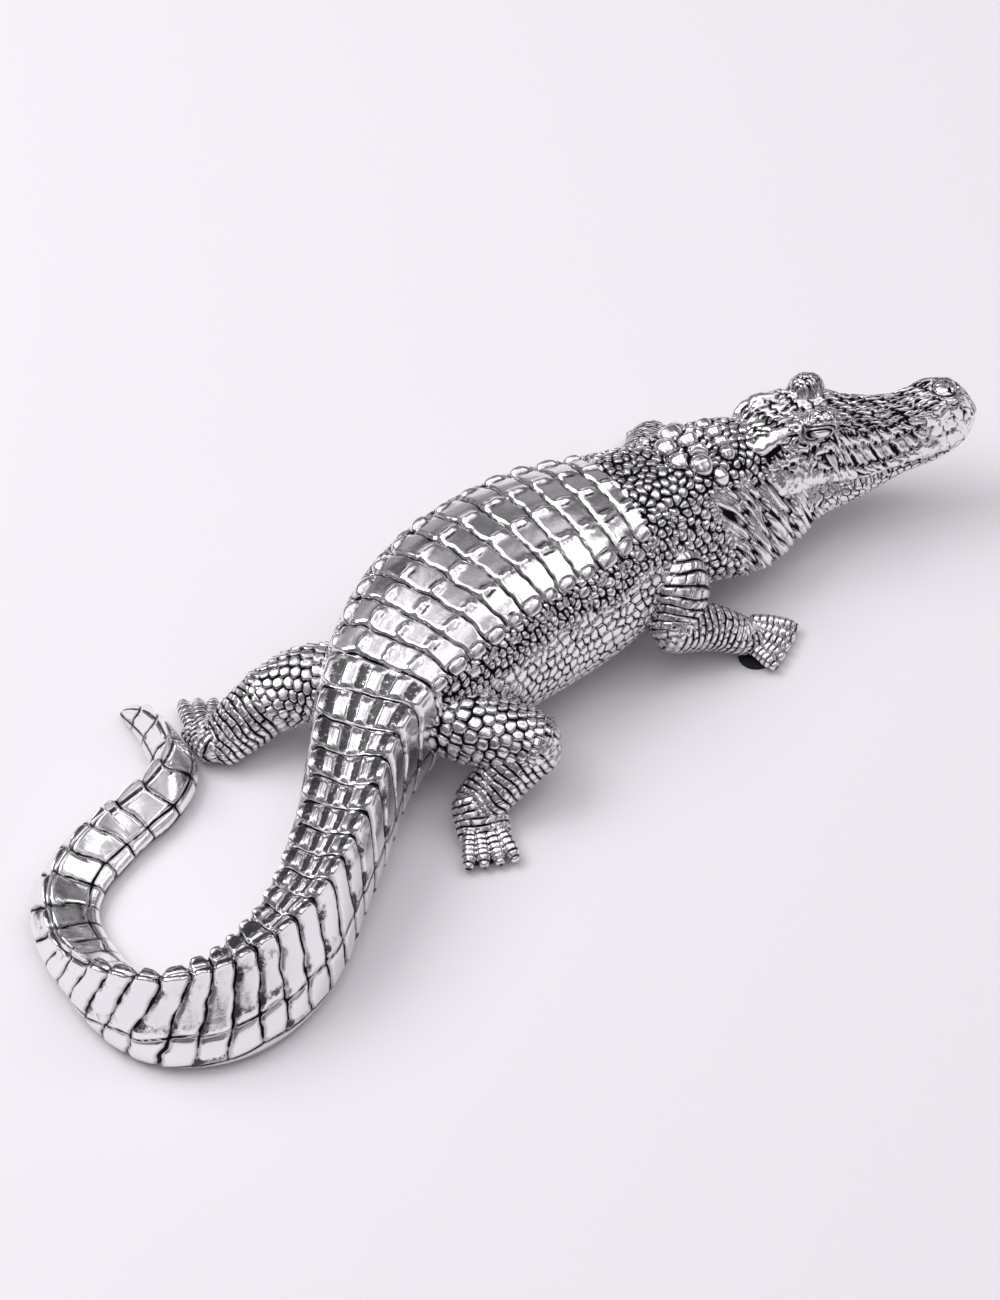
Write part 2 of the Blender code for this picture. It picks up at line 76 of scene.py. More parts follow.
TAIL = (
    # x, y, top, edge_out, edge_drop, wide_out, wide_up, low_out, low_up, under, lean
    (-266, 184, 7, 1.5, 1, 3, 4, 2, 3, 2, 0),
    (-267, 170, 23, 1.5, 3, 6, 9, 4, 4, 1, 0),
    (-266, 152, 37, 1.8, 4, 9, 14, 8, 4, 1, 0),
    (-267, 131, 47, 3.4, 5, 13, 19, 12, 4, 1, 0),
    (-271, 111, 53, 3.4, 5, 15, 21, 14, 4, 1, -2),
    (-277, 92, 53, 3.4, 5, 17, 21, 16, 4, 1, -4),
    (-293, 78, 48, 3.4, 5, 18, 21, 16, 4, 1, -9),
    (-317, 70, 42, 3.4, 5, 20, 19, 19, 4, 1, -12),
    (-346, 66, 38, 3.4, 5, 23, 18, 19, 4, 1, -15),
    (-374, 60, 35, 3.4, 5, 25, 17, 21, 4, 1, -19),
    (-410, 47, 35, 3.4, 5, 25, 17, 21, 4, 1, -20),
    (-436, 29, 36, 3.4, 5, 26, 17, 21, 4, 1, -20),
    (-451, 3, 38, 3.4, 5, 26, 18, 22, 4, 1, -21),
    (-458, -24, 47, 3.4, 5, 27, 21, 23, 4, 1, -24),
    (-463, -52, 64, 3.4, 5, 27, 26, 24, 4, 1, -25),
    (-464, -80, 77, 3.4, 5, 29, 28, 28, 4, 1, -21),
    (-460, -105, 86, 3, 6, 31, 29, 31, 4, 1, -15),
    (-449, -127, 88, 4, 6, 33, 29, 33, 4, 1, -8),
    (-433, -142, 89, 6, 5, 33, 30, 34, 4, 1, 0),
    (-410, -153, 89, 8, 4, 34, 31, 34, 4, 1, 5),
    (-382, -156, 90, 11, 3, 34, 32, 34, 4, 1, 8),
    (-353, -152, 91, 14, 2, 35, 34, 33, 5, 1, 7),
    (-325, -142, 93, 18, 1, 35, 37, 32, 6, 1, 5),
    (-276, -111, 95, 23, 0, 35, 43, 30, 8, 2, 1),
    (-226, -76, 99, 28, 0, 38, 47, 31, 10, 4, 0),
    (-176, -37, 109, 35, 2, 43, 54, 35, 14, 8, 0),
)
TRUNK = (
    (-125, -7, 128, 47, 8, 59, 62, 43, 21, 14, 0),
    (-66, 12, 144, 60, 13, 85, 68, 63, 27, 18, 0),
    (30, 26, 154, 68, 17, 103, 72, 77, 28, 20, 0),
    (96, 24, 152, 64, 18, 100, 72, 74, 28, 21, 0),
)
NECK = (
    (158, 19, 143, 50, 15, 88, 73, 63, 32, 26, 0),
    (209, 14, 137, 38, 10, 76, 68, 54, 31, 25, 0),
    (261, 9, 133, 35, 10, 81, 52, 56, 27, 21, 0),
    (302, -1, 126, 31, 12, 76, 52, 52, 33, 27, 0),
    (326, -10, 118, 25, 12, 62, 53, 44, 38, 31, 0),
    (352, -21, 100, 18, 12, 47, 54, 34, 44, 38, 0),
    (380, -34, 88, 12, 12, 32, 58, 24, 50, 46, 0),
)
BODY = np.array(TAIL + TRUNK + NECK, float) * SHARE

HEAD = np.array((
    # along, top, brow, lip, mouth, jaw, corner, throat
    (-14, 114, 21, 109, 37, 87, 38, 78, 41, 66, 38, 40, 36),
    (4, 131, 26, 128, 47, 91, 48, 80, 53, 63, 46, 34, 31),
    (25, 135, 29, 134, 50, 91, 48, 83, 56, 60, 48, 34, 31),
    (60, 137, 25, 139, 42, 89, 41, 83, 48, 62, 41, 41, 35),
    (95, 128, 18, 126, 36, 79, 33, 73, 40, 61, 33, 45, 41),
    (139, 123, 13, 121, 28, 79, 26, 74, 28, 67, 23, 56, 51),
    (175, 129, 17, 127, 27, 84, 24, 77, 25, 71, 18, 63, 60),
    (196, 124, 14, 121, 23, 88, 19, 83, 19, 77, 13, 71, 69),
    (208, 111, 9, 109, 13, 94, 9, 88, 10, 81, 6, 76, 75),
    (214, 100, 3, 99, 4, 94, 3, 90, 3, 85, 2, 81, 80),
), float) * SHARE
HEAD_PLACE = np.array((305, 5, 0), float) * SHARE
HEAD_YAW = math.radians(-25.5)
EYE_KNOB = {"middle": (60, 23, 139.2), "radii": (16, 13, 14)}
NOSE_KNOB = {"middle": (183, 0, 127.5), "radii": (12, 12, 5.5)}

NAPE_BUMPS = ((66, 10, 11), (88, 8, 10.5), (81, 24, 11.5), (114, 7, 8), (112, 21, 8), (93, 40, 9))
NAPE_TO_LEFT = 3

LEGS = {
    "right_fore": {
        # x, y, z, half_width, half_height
        "upper": ((189, -22, 72, 22, 26), (165, -62, 67, 27, 29), (145, -80, 48, 23, 24)),
        "lower": ((179, -94, 34, 20, 21), (200, -106, 20, 19, 16)),
        "foot": ((216, -109, 11, 20, 10),),
        "toes": (5, 7.5, -53),
    },
    "left_fore": {
        "upper": ((187, 40, 72, 21, 25), (238, 70, 69, 23, 25), (268, 92, 60, 21, 22)),
        "lower": ((278, 101, 41, 18, 19), (285, 107, 22, 17, 15)),
        "foot": ((292, 113, 11, 20, 10),),
        "toes": (5, 7.5, 2),
    },
    "right_hind": {
        "upper": ((-110, -9, 72, 27, 29), (-79, -65, 68, 32, 32), (-42, -105, 50, 29, 30)),
        "lower": ((-72, -107, 35, 24, 24), (-104, -109, 20, 23, 16)),
        "foot": ((-116, -132, 11, 23, 10),),
        "toes": (4, 8.5, 0),
    },
    "left_hind": {
        "upper": ((-110, 11, 72, 27, 29), (-149, 66, 60, 32, 32), (-180, 85, 42, 28, 29)),
        "lower": ((-207, 88, 30, 26, 26), (-230, 90, 18, 23, 16)),
        "foot": ((-224, 119, 11, 23, 11),),
        "toes": (4, 8.5, -26),
    },
}
TOE_LENGTH = 31
TOE_RADIUS = 7
TOE_FAN = 9.5
# Along a toe, in shares of its length and of its radius.
TOE_PLACES = np.array((-0.2, 0.15, 0.5, 0.8, 1.0))
TOE_HEIGHTS = np.array((1.3, 1.25, 1.0, 0.75, 0.5))
TOE_GIRTHS = np.array((0.9, 1.0, 1.0, 0.92, 0.62))

# %% [markdown]
# The solid was centred on its footprint after it was drawn, so the same numbers are moved along with it. How
# far is read from one felt pad, whose place before the move is known.

# %% How far the solid was moved
PAD_BEFORE = np.array((206, -122), float) * SHARE
low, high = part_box("right_fore_foot_pad")
moved = (np.array(low) + np.array(high))[:2] / 2 - PAD_BEFORE
SHIFT = np.array((moved[0], moved[1], 0.0))
print("moved by", SHIFT)

# %% [markdown]
# ## Curves and grids
#
# Every volume is swept: a handful of sections is placed along a line, and a smooth curve runs through them.
# The same curve rule serves in both directions, along the line and around the section.

# %% Curves and grids
def through(keys, values, at):
    """The curve through values at keys.

    From a to b it is a (1 - 3t^2 + 2t^3) + a' (t^3 - 2t^2 + t) + b (3t^2 - 2t^3) + b' (t^3 - t^2).
    """
    keys, values = np.asarray(keys, float), np.asarray(values, float)
    slopes = np.gradient(values, keys, axis=0)
    cell = np.clip(np.searchsorted(keys, at, side="right") - 1, 0, len(keys) - 2)
    span = keys[cell + 1] - keys[cell]
    t = (at - keys[cell]) / span
    if values.ndim > 1:
        t, span = t[:, None], span[:, None]
    start, end = values[cell], values[cell + 1]
    leave, arrive = slopes[cell] * span, slopes[cell + 1] * span
    rise, hold = 3 * t**2 - 2 * t**3, t**3 - t**2
    return start * (1 - rise) + leave * (hold - t**2 + t) + end * rise + arrive * hold


def running_length(points):
    """Distance from the first point to each point: the sum of the straight steps before it."""
    return np.concatenate(([0.0], np.cumsum(np.linalg.norm(np.diff(points, axis=0), axis=1))))


def unit(vectors):
    """v / |v| for each vector."""
    return vectors / np.maximum(np.linalg.norm(vectors, axis=-1, keepdims=True), 1e-12)


def smooth_step(low, high, value):
    """0 below low, 1 above high and t^2(3-2t) between them."""
    t = np.clip((value - low) / (high - low), 0, 1)
    return t * t * (3 - 2 * t)


def near(value, middle, width):
    """exp(-((value - middle) / width)^2), a soft bump."""
    return np.exp(-(((value - middle) / width) ** 2))


def ring_through(corners, columns):
    """Closed rings through corners and their mirror images, read at columns and at their mirror images."""
    last = corners.shape[1] - 1
    closed = np.concatenate((corners, corners[:, last - 1 : 0 : -1] * (-1.0, 1.0)), axis=1)
    padded = np.concatenate((closed[:, -2:], closed, closed[:, :3]), axis=1)
    places = np.concatenate((columns, 2 * last - columns[-2:0:-1]))
    keys = np.arange(-2, closed.shape[1] + 3)
    flat = padded.transpose(1, 0, 2).reshape(len(keys), -1)
    ring = through(keys, flat, places).reshape(len(places), len(corners), 2).transpose(1, 0, 2)
    return ring, places


def grid_normals(grid):
    """Outward unit normals of a grid of rings: the cross product of the way round and the way along."""
    along = np.gradient(grid, axis=0)
    around = np.roll(grid, -1, axis=1) - np.roll(grid, 1, axis=1)
    normals = unit(np.cross(around, along))
    inside = grid.mean(axis=1, keepdims=True)
    outward = np.sign(((grid - inside) * normals).sum())
    return normals * outward


def mesh_object(name, points, face_groups, values):
    """An object from arrays of points and of faces, shaded smooth, with named values on its points."""
    mesh = bpy.data.meshes.new(name)
    loops = np.concatenate([faces.reshape(-1) for faces in face_groups])
    sizes = np.concatenate([np.full(len(faces), faces.shape[1]) for faces in face_groups])
    mesh.vertices.add(len(points))
    mesh.vertices.foreach_set("co", points.astype(np.float32).reshape(-1))
    mesh.loops.add(len(loops))
    mesh.loops.foreach_set("vertex_index", loops.astype(np.int32))
    mesh.polygons.add(len(sizes))
    mesh.polygons.foreach_set("loop_start", np.concatenate(([0], np.cumsum(sizes)[:-1])).astype(np.int32))
    mesh.polygons.foreach_set("use_smooth", np.ones(len(sizes), dtype=bool))
    mesh.update(calc_edges=True)
    mesh.validate()
    for label, numbers in values.items():
        value = mesh.attributes.new(label, "FLOAT", "POINT")
        value.data.foreach_set("value", numbers.astype(np.float32))
    thing = bpy.data.objects.new(name, mesh)
    bpy.context.scene.collection.objects.link(thing)
    return thing


def closed_skin(name, grid, groove, stain_and_shade):
    """A mesh over a grid of rings, each end closed by a fan to its middle, with its grooves, stains and
    painted shade.
    """
    rows, columns = grid.shape[:2]
    index = np.arange(rows * columns).reshape(rows, columns)
    after = np.roll(index, -1, axis=1)
    quads = np.stack((index[:-1], after[:-1], after[1:], index[1:]), axis=-1).reshape(-1, 4)
    first, last = rows * columns, rows * columns + 1
    fan_in = np.stack((after[0], index[0], np.full(columns, first)), axis=-1)
    fan_out = np.stack((index[-1], after[-1], np.full(columns, last)), axis=-1)
    points = np.concatenate((grid.reshape(-1, 3), [grid[0].mean(axis=0)], [grid[-1].mean(axis=0)]))
    inside = grid[rows // 2].mean(axis=0)
    corner = quads[(rows // 2) * columns]
    facing = np.cross(points[corner[1]] - points[corner[0]], points[corner[3]] - points[corner[0]])
    if facing @ (points[corner[0]] - inside) < 0:
        quads, fan_in, fan_out = quads[:, ::-1], fan_in[:, ::-1], fan_out[:, ::-1]
    values = {
        "groove": np.concatenate((np.clip(groove, 0, FAR).reshape(-1), [FAR, FAR])),
        "stain_and_shade": np.concatenate((np.clip(stain_and_shade, 0, 1).reshape(-1), [0, 0])),
    }
    return mesh_object(name, points + SHIFT, (quads, fan_in, fan_out), values)


# %% [markdown]
# ## Carving patterns
#
# Crocodile skin is made of a few motifs: beads, flat plates, overlapping scales, bands and wrinkles. Each
# motif is worked out as three numbers for every point of a skin: the height in metres, the distance to the
# nearest groove in millimetres, and how likely a stain is. The distance is what keeps the black lines sharp:
# the plating can blacken everything closer to a groove than half a millimetre, wherever the points of the
# mesh lie.

# %% Carving patterns
def dice(column, row, seed):
    """A random number from 0 to 1 for each square.

    It is what follows the point in 43758.5453 sin(127.1 column + 311.7 row + 74.7 seed).
    """
    value = np.sin(column * 127.1 + row * 311.7 + seed * 74.7) * 43758.5453
    return value - np.floor(value)


def ripple(x, y, seed):
    """Smooth uneven numbers about from -1 to 1: a sum of sines that never line up."""
    return (
        np.sin(1.0 * x + 1.7 * y + seed)
        + np.sin(-1.9 * x + 0.8 * y + 2.3 * seed)
        + np.sin(2.7 * x + 2.2 * y + 4.1 * seed) * 0.7
        + np.sin(3.9 * x - 4.3 * y + 1.3 * seed) * 0.5
    ) / 2.4


def cells(x, y, seed, stray):
    """Centres are strewn one to a unit square. The nearest two lie at the distances d1 and d2.

    Gives d1, the gap d2 - d1, and how far y lies past the nearest centre.
    """
    column, row = np.floor(x), np.floor(y)
    nearest, second = np.full(x.shape, 9.0), np.full(x.shape, 9.0)
    offset = np.zeros(x.shape)
    for i in (-1, 0, 1):
        for j in (-1, 0, 1):
            at_row = row + j
            at_column = column + i
            astray = stray * (dice(at_column, at_row, seed) - 0.5)
            middle_x = at_column + 0.5 + astray + 0.5 * (at_row % 2) - 0.25
            middle_y = at_row + 0.5 + stray * (dice(at_column, at_row, seed + 1) - 0.5)
            far = np.hypot(x - middle_x, y - middle_y)
            second = np.minimum(second, np.maximum(nearest, far))
            offset = np.where(far < nearest, y - middle_y, offset)
            nearest = np.minimum(nearest, far)
    return nearest, second - nearest, offset


def beads(x, y, size, high, seed, stray=0.65):
    """Round beads: high sqrt(1 - (d1 / 0.76)^2), with the groove where two beads meet or one ends."""
    nearest, gap, _ = cells(x / size, y / size, seed, stray)
    height = high * np.sqrt(np.clip(1 - (nearest / 0.76) ** 2, 0, 1)) * smooth_step(0.0, 0.25, gap)
    groove = np.minimum(gap / 2, np.clip(0.72 - nearest, 0, 1)) * size * 1000
    return height, groove, np.zeros_like(height)


def plates(x, y, long, wide, high, seed, stray=0.6, tilt=0.0, thin=1.0):
    """Flat plates long by wide that fit together: high * step(gap), rising by tilt towards one end."""
    _, gap, offset = cells(x / long, y / wide, seed, stray)
    height = high * smooth_step(0.0, 0.3, gap) * (0.8 + tilt * offset)
    return height, gap / 2 * min(long, wide) * 1000 * thin, np.zeros_like(height)


def bands(along, around, tall, wide, high, seed):
    """Bands of small plates round a limb, each lifting over the next: high step(part) (1 - 0.6 part)."""
    row = along / tall + 0.35 * ripple(around / wide * 0.5, along / tall * 0.3, seed)
    part = row - np.floor(row)
    brick = around / wide + 0.5 * (np.floor(row) % 2) + 0.25 * ripple(along / tall, around / wide, seed + 3)
    joint = np.abs(brick - np.round(brick)) * wide
    edge = np.minimum(part, 1 - part) * tall
    height = high * smooth_step(0.0, 0.25, part) * (1 - 0.6 * part) * smooth_step(0, 0.0007, joint)
    groove = np.minimum(edge, joint * 1.3 + 0.00012) * 1000
    return height, groove, np.zeros_like(height)


def wrinkles(x, y, long, wide, high, seed, thin=1.0):
    """Winding ridges: high step(|r|) of smooth uneven numbers r, with a groove wherever r is 0."""
    bent = y / wide * 3 + 0.6 * ripple(x / long * 2.3, y / wide * 1.7, seed + 1)
    level = np.abs(ripple(x / long * 3, bent, seed))
    return high * smooth_step(0.0, 0.8, level), level * wide * 420 * thin, np.zeros_like(level)


def mix(under, over, share):
    """under + (over - under) share, for the height, the groove and the stain."""
    return tuple(a + (b - a) * share for a, b in zip(under, over))


def seat(under, reach, size, high, ring=1.0):
    """Sets a knob on a carving: high sqrt(1 - reach^2) inside reach 1, with a groove where reach is 1."""
    height, groove, stain_and_shade = under
    calm = smooth_step(1.3, 1.0, reach)
    rim = np.abs(reach - 1) * size * 1000
    rise = high * np.sqrt(np.clip(1 - reach**2, 0, 1))
    return (
        height * (1 - calm) + rise,
        np.where(reach < 1, np.minimum(rim + 0.15, FAR) / ring, np.minimum(groove, rim / ring)),
        stain_and_shade * (1 - calm),
    )


# %% [markdown]
# ## Trunk, neck and tail
#
# The middle line runs over the table from the tip of the tail to the neck. At each place a section stands
# upright across it. Its corners are the top, the edge of the back, the widest point, the lower corner and the
# underside. In the outer bend of the tail the whole section leans outwards, so the crest comes to lie low.

# %% Trunk, neck and tail: the smooth volume
BODY_DISTANCE = running_length(BODY[:, :2])
HIP = BODY_DISTANCE[len(TAIL)]
SHIELD_FRONT = BODY_DISTANCE[len(TAIL) + len(TRUNK)]
BACK_ROWS = round((BODY_DISTANCE[-1] - HIP) / BACK_ROW_LENGTH)


def tail_row_length(places):
    """The length of the rows of the tail: shorter round its bend than near the tip or the hip."""
    table = np.array(TAIL_ROW_LENGTHS)
    return np.interp(places, table[:, 0] * SHARE, table[:, 1] / 1000)


TAIL_MARKS = np.linspace(0, HIP, 800)
TAIL_PASSED = np.concatenate(([0.0], np.cumsum(np.diff(TAIL_MARKS) / tail_row_length(TAIL_MARKS[1:]))))
TAIL_ROWS = round(TAIL_PASSED[-1])
TAIL_PASSED = TAIL_PASSED * TAIL_ROWS / TAIL_PASSED[-1]
print(TAIL_ROWS, "rows on the tail,", BACK_ROWS, "on the back and neck")


def row_number(places):
    """Which row of scutes a place is in: the sum of steps / row length since the tip of the tail."""
    tail = np.interp(places, TAIL_MARKS, TAIL_PASSED)
    back = TAIL_ROWS + (places - HIP) / (BODY_DISTANCE[-1] - HIP) * BACK_ROWS
    return np.where(places < HIP, tail, back)


def body_grid(places, columns):
    """Points line + (out + lean rise) left + up z, where rise is (up - under) / (top - under).

    They are given with what was read on the way, such as the distance round from the top.
    """
    at = through(BODY_DISTANCE, BODY, places)
    reach = LENGTH * 0.004
    ahead = through(BODY_DISTANCE, BODY, np.minimum(places + reach, BODY_DISTANCE[-1]))
    behind = through(BODY_DISTANCE, BODY, np.maximum(places - reach, 0))
    heading = unit(ahead[:, :2] - behind[:, :2])
    left = np.stack((-heading[:, 1], heading[:, 0]), axis=-1)
    top, edge_out, edge_drop, wide_out, wide_up, low_out, low_up, under, lean = at[:, 2:].T
    none = np.zeros_like(top)
    corners = np.column_stack((
        none, top, edge_out, top - edge_drop, wide_out, wide_up, low_out, low_up, none, under,
    )).reshape(-1, 5, 2)
    ring, around = ring_through(corners, columns)
    out, up = ring[..., 0], ring[..., 1]
    across = out + lean[:, None] * (up - under[:, None]) / (top - under)[:, None]
    grid = np.concatenate((at[:, None, :2] + across[..., None] * left[:, None, :], up[..., None]), axis=-1)
    arc = np.linalg.norm(np.diff(np.concatenate((grid, grid[:, :1]), axis=1), axis=1), axis=-1)
    from_top = np.concatenate((np.zeros((len(places), 1)), np.cumsum(arc, axis=1)[:, :-1]), axis=1)
    whole = arc.sum(axis=1, keepdims=True)
    from_top = np.where(around[None, :] <= 4, from_top, from_top - whole)
    upright = unit(np.concatenate((left * lean[:, None], (top - under)[:, None]), axis=1))
    side = np.broadcast_to(np.minimum(around, 8 - around), from_top.shape)
    edge = np.maximum(from_top[:, int(np.argmin(np.abs(around - 1.0)))], 0.0015)[:, None]
    ground = from_top[:, int(np.argmin(np.abs(around - 3.0)))][:, None]
    places = np.broadcast_to(places[:, None], from_top.shape)
    return {
        "grid": grid,
        "across": from_top,
        "side": side,
        "edge": edge,
        "share": np.abs(from_top) / edge,
        "wall": np.clip((np.abs(from_top) - edge) / (ground - edge), 0, 1.5),
        "wall_height": ground - edge,
        "places": places,
        "tall": (top - under)[:, None],
        "upright": upright[:, None, :],
    }


# %% [markdown]
# ### The rows of the back
#
# Each row of scutes overlaps the one behind it: its rear edge stands high over a black groove, and its front
# slopes down. The grooves waver a little, as they do where a chisel was led by hand. Across a row, low keels
# part the broad mirror-like plates.

# %% Rows of scutes
def row_parts(places, across, slant):
    """The row of a place, the share of it that is passed, and the millimetres to its groove."""
    wander = 0.0008 * ripple(across * 120, row_number(places) * 1.9, 3.0)
    wander = wander + 0.0004 * ripple(across * 310, places * 150, 1.0)
    row = row_number(places + wander + slant)
    part = row - np.floor(row)
    long = np.where(places < HIP, tail_row_length(places), BACK_ROW_LENGTH)
    return row, part, np.minimum(part, 1 - part) * long * 1000


def shield_carving(body):
    """Plates 1.3 mm high at their rear edge, with a keel at every half of the way out to the edge."""
    row, part, groove = row_parts(body["places"], body["across"], 0.0)
    step = np.abs(body["share"] * 2 - np.round(body["share"] * 2)) / 2 * body["edge"]
    step = step + 0.0004 * ripple(row * 5, body["share"] * 7, 2.0)
    lift = smooth_step(0.0, 0.16, part) * (1 - 0.62 * part)
    along_keel = smooth_step(0.03, 0.3, part) * smooth_step(1.0, 0.55, part)
    keel = (near(step, 0, 0.0026) + 0.45 * near(step, 0, 0.0010)) * along_keel
    height = 0.0013 * lift + 0.0012 * keel - 0.0004 * near(groove, 0, 0.5)
    chance = dice(np.floor(row), np.round(body["share"] * 2) + 4 * (body["across"] > 0), 1.0)
    beside_keel = near(step, 0.0030, 0.0012) * along_keel * (0.2 + 0.8 * chance)
    at_rear = 0.55 * smooth_step(0.2, 0.02, part) * chance
    return height, groove * 0.9, beside_keel + at_rear


EDGE_KNOBS = (
    # share of a row ahead, out from the edge, half length, half width, height, seed
    (0.0, 0.0012, 0.0060, 0.0038, 0.0042, 4.0),
    (0.5, 0.0084, 0.0038, 0.0028, 0.0026, 6.0),
)
SQUARENESS = 2.6


def edge_knobs(under, body):
    """Two staggered rows of knobs, each in a squarish oval: reach = (|a|^2.6 + |b|^2.6)^(1 / 2.6)."""
    row, part, _ = row_parts(body["places"], body["across"], 0.0)
    past = np.abs(body["across"]) - body["edge"]
    left = np.where(body["across"] > 0, 1.0, 0.0)
    for start, out, long, wide, high, seed in EDGE_KNOBS:
        turned = part + start
        number = np.floor(row + start)
        grown = 0.70 + 0.40 * dice(number, left, seed)
        ahead = (turned - np.floor(turned) - 0.46) * BACK_ROW_LENGTH
        aside = past - out - 0.0012 * (dice(number, left, seed + 1) - 0.5)
        lengthwise = np.abs(ahead / (long * grown)) ** SQUARENESS
        crosswise = np.abs(aside / (wide * grown)) ** SQUARENESS
        reach = (lengthwise + crosswise) ** (1 / SQUARENESS)
        under = seat(under, reach, wide, high * grown * (0.30 + 0.70 * left), 0.55)
    return under


# %% [markdown]
# ### Flanks
#
# Under the knobs come two or three rows of beads with deep black gaps, and below them flat plates that fit
# together like paving, smaller towards the belly.

# %% Flanks
def flank_carving(body):
    """Beads next to the shield, then plates; the belly has the same plates, flatter."""
    places, across, side = body["places"], body["across"], body["side"]
    past = np.abs(across) - body["edge"]
    round_ones = beads(places + 0.0008 * ripple(places * 200, across * 200, 1.0), across, 0.0047, 0.0017, 1.0)
    flat_ones = plates(places + 0.2 * np.abs(across), across, 0.0062, 0.0050, 0.0009, 5.0, 0.6, 0.5, 1.7)
    belly = plates(places, across, 0.0095, 0.0070, 0.0006, 7.0, 0.3)
    down = smooth_step(0.018, 0.026, past + 0.003 * ripple(places * 90, across * 70, 2.0))
    return mix(mix(round_ones, flat_ones, down), belly, smooth_step(2.75, 3.1, side))


# %% [markdown]
# ### Neck
#
# Behind the head the skin is loose. On top it is all beads, round the paired bony bumps, and on the side it
# falls into long wrinkles that run down and forward, cracked across into strips.

# %% Neck
def neck_carving(body):
    """Beads, wrinkles that run where places - 0.75 |across| is level, and long plates on the throat."""
    places, across, side = body["places"], body["across"], body["side"]
    shaken = across + 0.0006 * ripple(places * 240, across * 210, 4.0)
    stones = beads(places, shaken, 0.0050, 0.0019, 9.0, 0.75)
    ahead = places - SHIELD_FRONT
    slope = ahead - 0.75 * (np.abs(across) - 0.02)
    length = np.abs(across) + 0.5 * ahead
    folds = wrinkles(length, slope, 0.046, 0.0105, 0.0021, 7.0, 0.7)
    cracks = wrinkles(slope, length, 0.020, 0.0220, 0.0, 9.0)
    folds = (folds[0], np.minimum(folds[1], cracks[1] + 0.30), 0.5 * smooth_step(1.2, 0.3, folds[1]))
    throat = plates(places, across, 0.0062, 0.0094, 0.0005, 3.0, 0.4)
    folded = smooth_step(0.036, 0.046, ahead - 0.25 * (np.abs(across) - 0.03))
    folded = folded * smooth_step(0.012, 0.02, np.abs(across) - 0.012)
    return mix(mix(stones, folds, folded), throat, smooth_step(2.6, 2.95, side))


def nape_bumps(under, body):
    """Round bumps of radius r that rise 0.74 r, each with a low ridge along its top."""
    for ahead, out, radius in NAPE_BUMPS:
        for way in (-1, 1):
            past = (body["places"] - SHIELD_FRONT) / SHARE - ahead
            aside = body["across"] / SHARE - way * out - NAPE_TO_LEFT
            reach = np.hypot(past, aside) / radius
            under = seat(under, reach, radius * SHARE, 0.74 * radius * SHARE)
            ridge = 0.0006 * near(aside, 0, 1.8) * smooth_step(0.9, 0.5, reach)
            under = (under[0] + ridge, under[1], under[2])
    return under


# %% [markdown]
# ### Tail
#
# The top of the tail carries short rounded keels, side by side like fingers, with black between them. They
# come together into two crests and then into one. The walls are cut into tall plates above and low plates
# below, over a plain strip that meets the table.

# %% Tail
def tail_top_carving(body):
    """Fingers where cos(4 pi share) is high, or cos(2 pi share) where the tail is narrow."""
    row, part, groove = row_parts(body["places"], body["across"], 0.0)
    many = smooth_step(0.008, 0.011, body["edge"])
    wave = many * np.cos(body["share"] * 4 * math.pi) + (1 - many) * np.cos(body["share"] * 2 * math.pi)
    finger = smooth_step(-0.60, 0.70, wave)
    along = smooth_step(0.02, 0.2, part) * smooth_step(1.0, 0.7, part)
    height = 0.0010 * smooth_step(0.0, 0.16, part) * (1 - 0.6 * part) + 0.0017 * finger * along
    return height, groove * 0.8, 0.85 * (1 - finger) * smooth_step(0.02, 0.15, part)


def tail_wall_carving(body):
    """Plates between the row grooves, with cross grooves at 0.57 and 0.9 of the way down the wall."""
    wall, tall = body["wall"], body["wall_height"]
    slant = 0.22 * np.clip(wall, 0, 1) * tall + 0.0016 * np.sin(np.clip(wall, 0, 1) * math.pi)
    row, part, groove = row_parts(body["places"], body["across"], slant)
    step = 0.035 * ripple(row * 1.3, wall * 2, 5.0) + 0.03 * (dice(np.floor(row), 0 * row, 3.0) - 0.5)
    middle = np.abs(wall - 0.57 - step) * tall * 1000
    bottom = np.abs(wall - 0.90 - step / 2) * tall * 1000
    in_plates = wall < 0.90 + step / 2
    groove = np.where(in_plates, np.minimum(groove, np.minimum(middle, bottom)), np.minimum(bottom, FAR))
    pillow = smooth_step(0, 2.2, groove) * smooth_step(1.02, 0.9, wall)
    lift = smooth_step(0.0, 0.12, part) * (1 - 0.7 * part) * smooth_step(0.95, 0.85, wall)
    patch = (
        0.55 * near(wall, 0.46, 0.15)
        + 0.6 * near(wall, 0.85, 0.06)
        + 0.25 * smooth_step(0.35, 0.05, part)
        + 0.5 * near(wall, 0.12, 0.12)
    )
    chance = 0.5 + 0.7 * dice(np.floor(row), np.floor(wall * 2), 7.0)
    return 0.0008 * pillow + 0.0009 * lift, groove * 0.8, patch * chance


def crest(body):
    """How far the crest stands above the top: rounded teeth sin(pi part^0.7)^0.6, on two edges or on one."""
    _, part, _ = row_parts(body["places"], body["across"], 0.0)
    crest_at = np.where(body["edge"] > 0.0045, 1.0, 0.0)
    slim = np.clip(body["tall"] / 0.030, 0.25, 1)
    tailward = smooth_step(HIP + 0.01, HIP - 0.05, body["places"])
    tooth = np.clip(np.sin(math.pi * part**0.7), 0, 1) ** 0.6
    return 0.0052 * near(body["side"], crest_at, 0.34) * tooth * slim * tailward


# %% [markdown]
# ### Putting the body together
#
# The motifs are mixed by place. The finished heights move each point out along the smooth skin's normal.

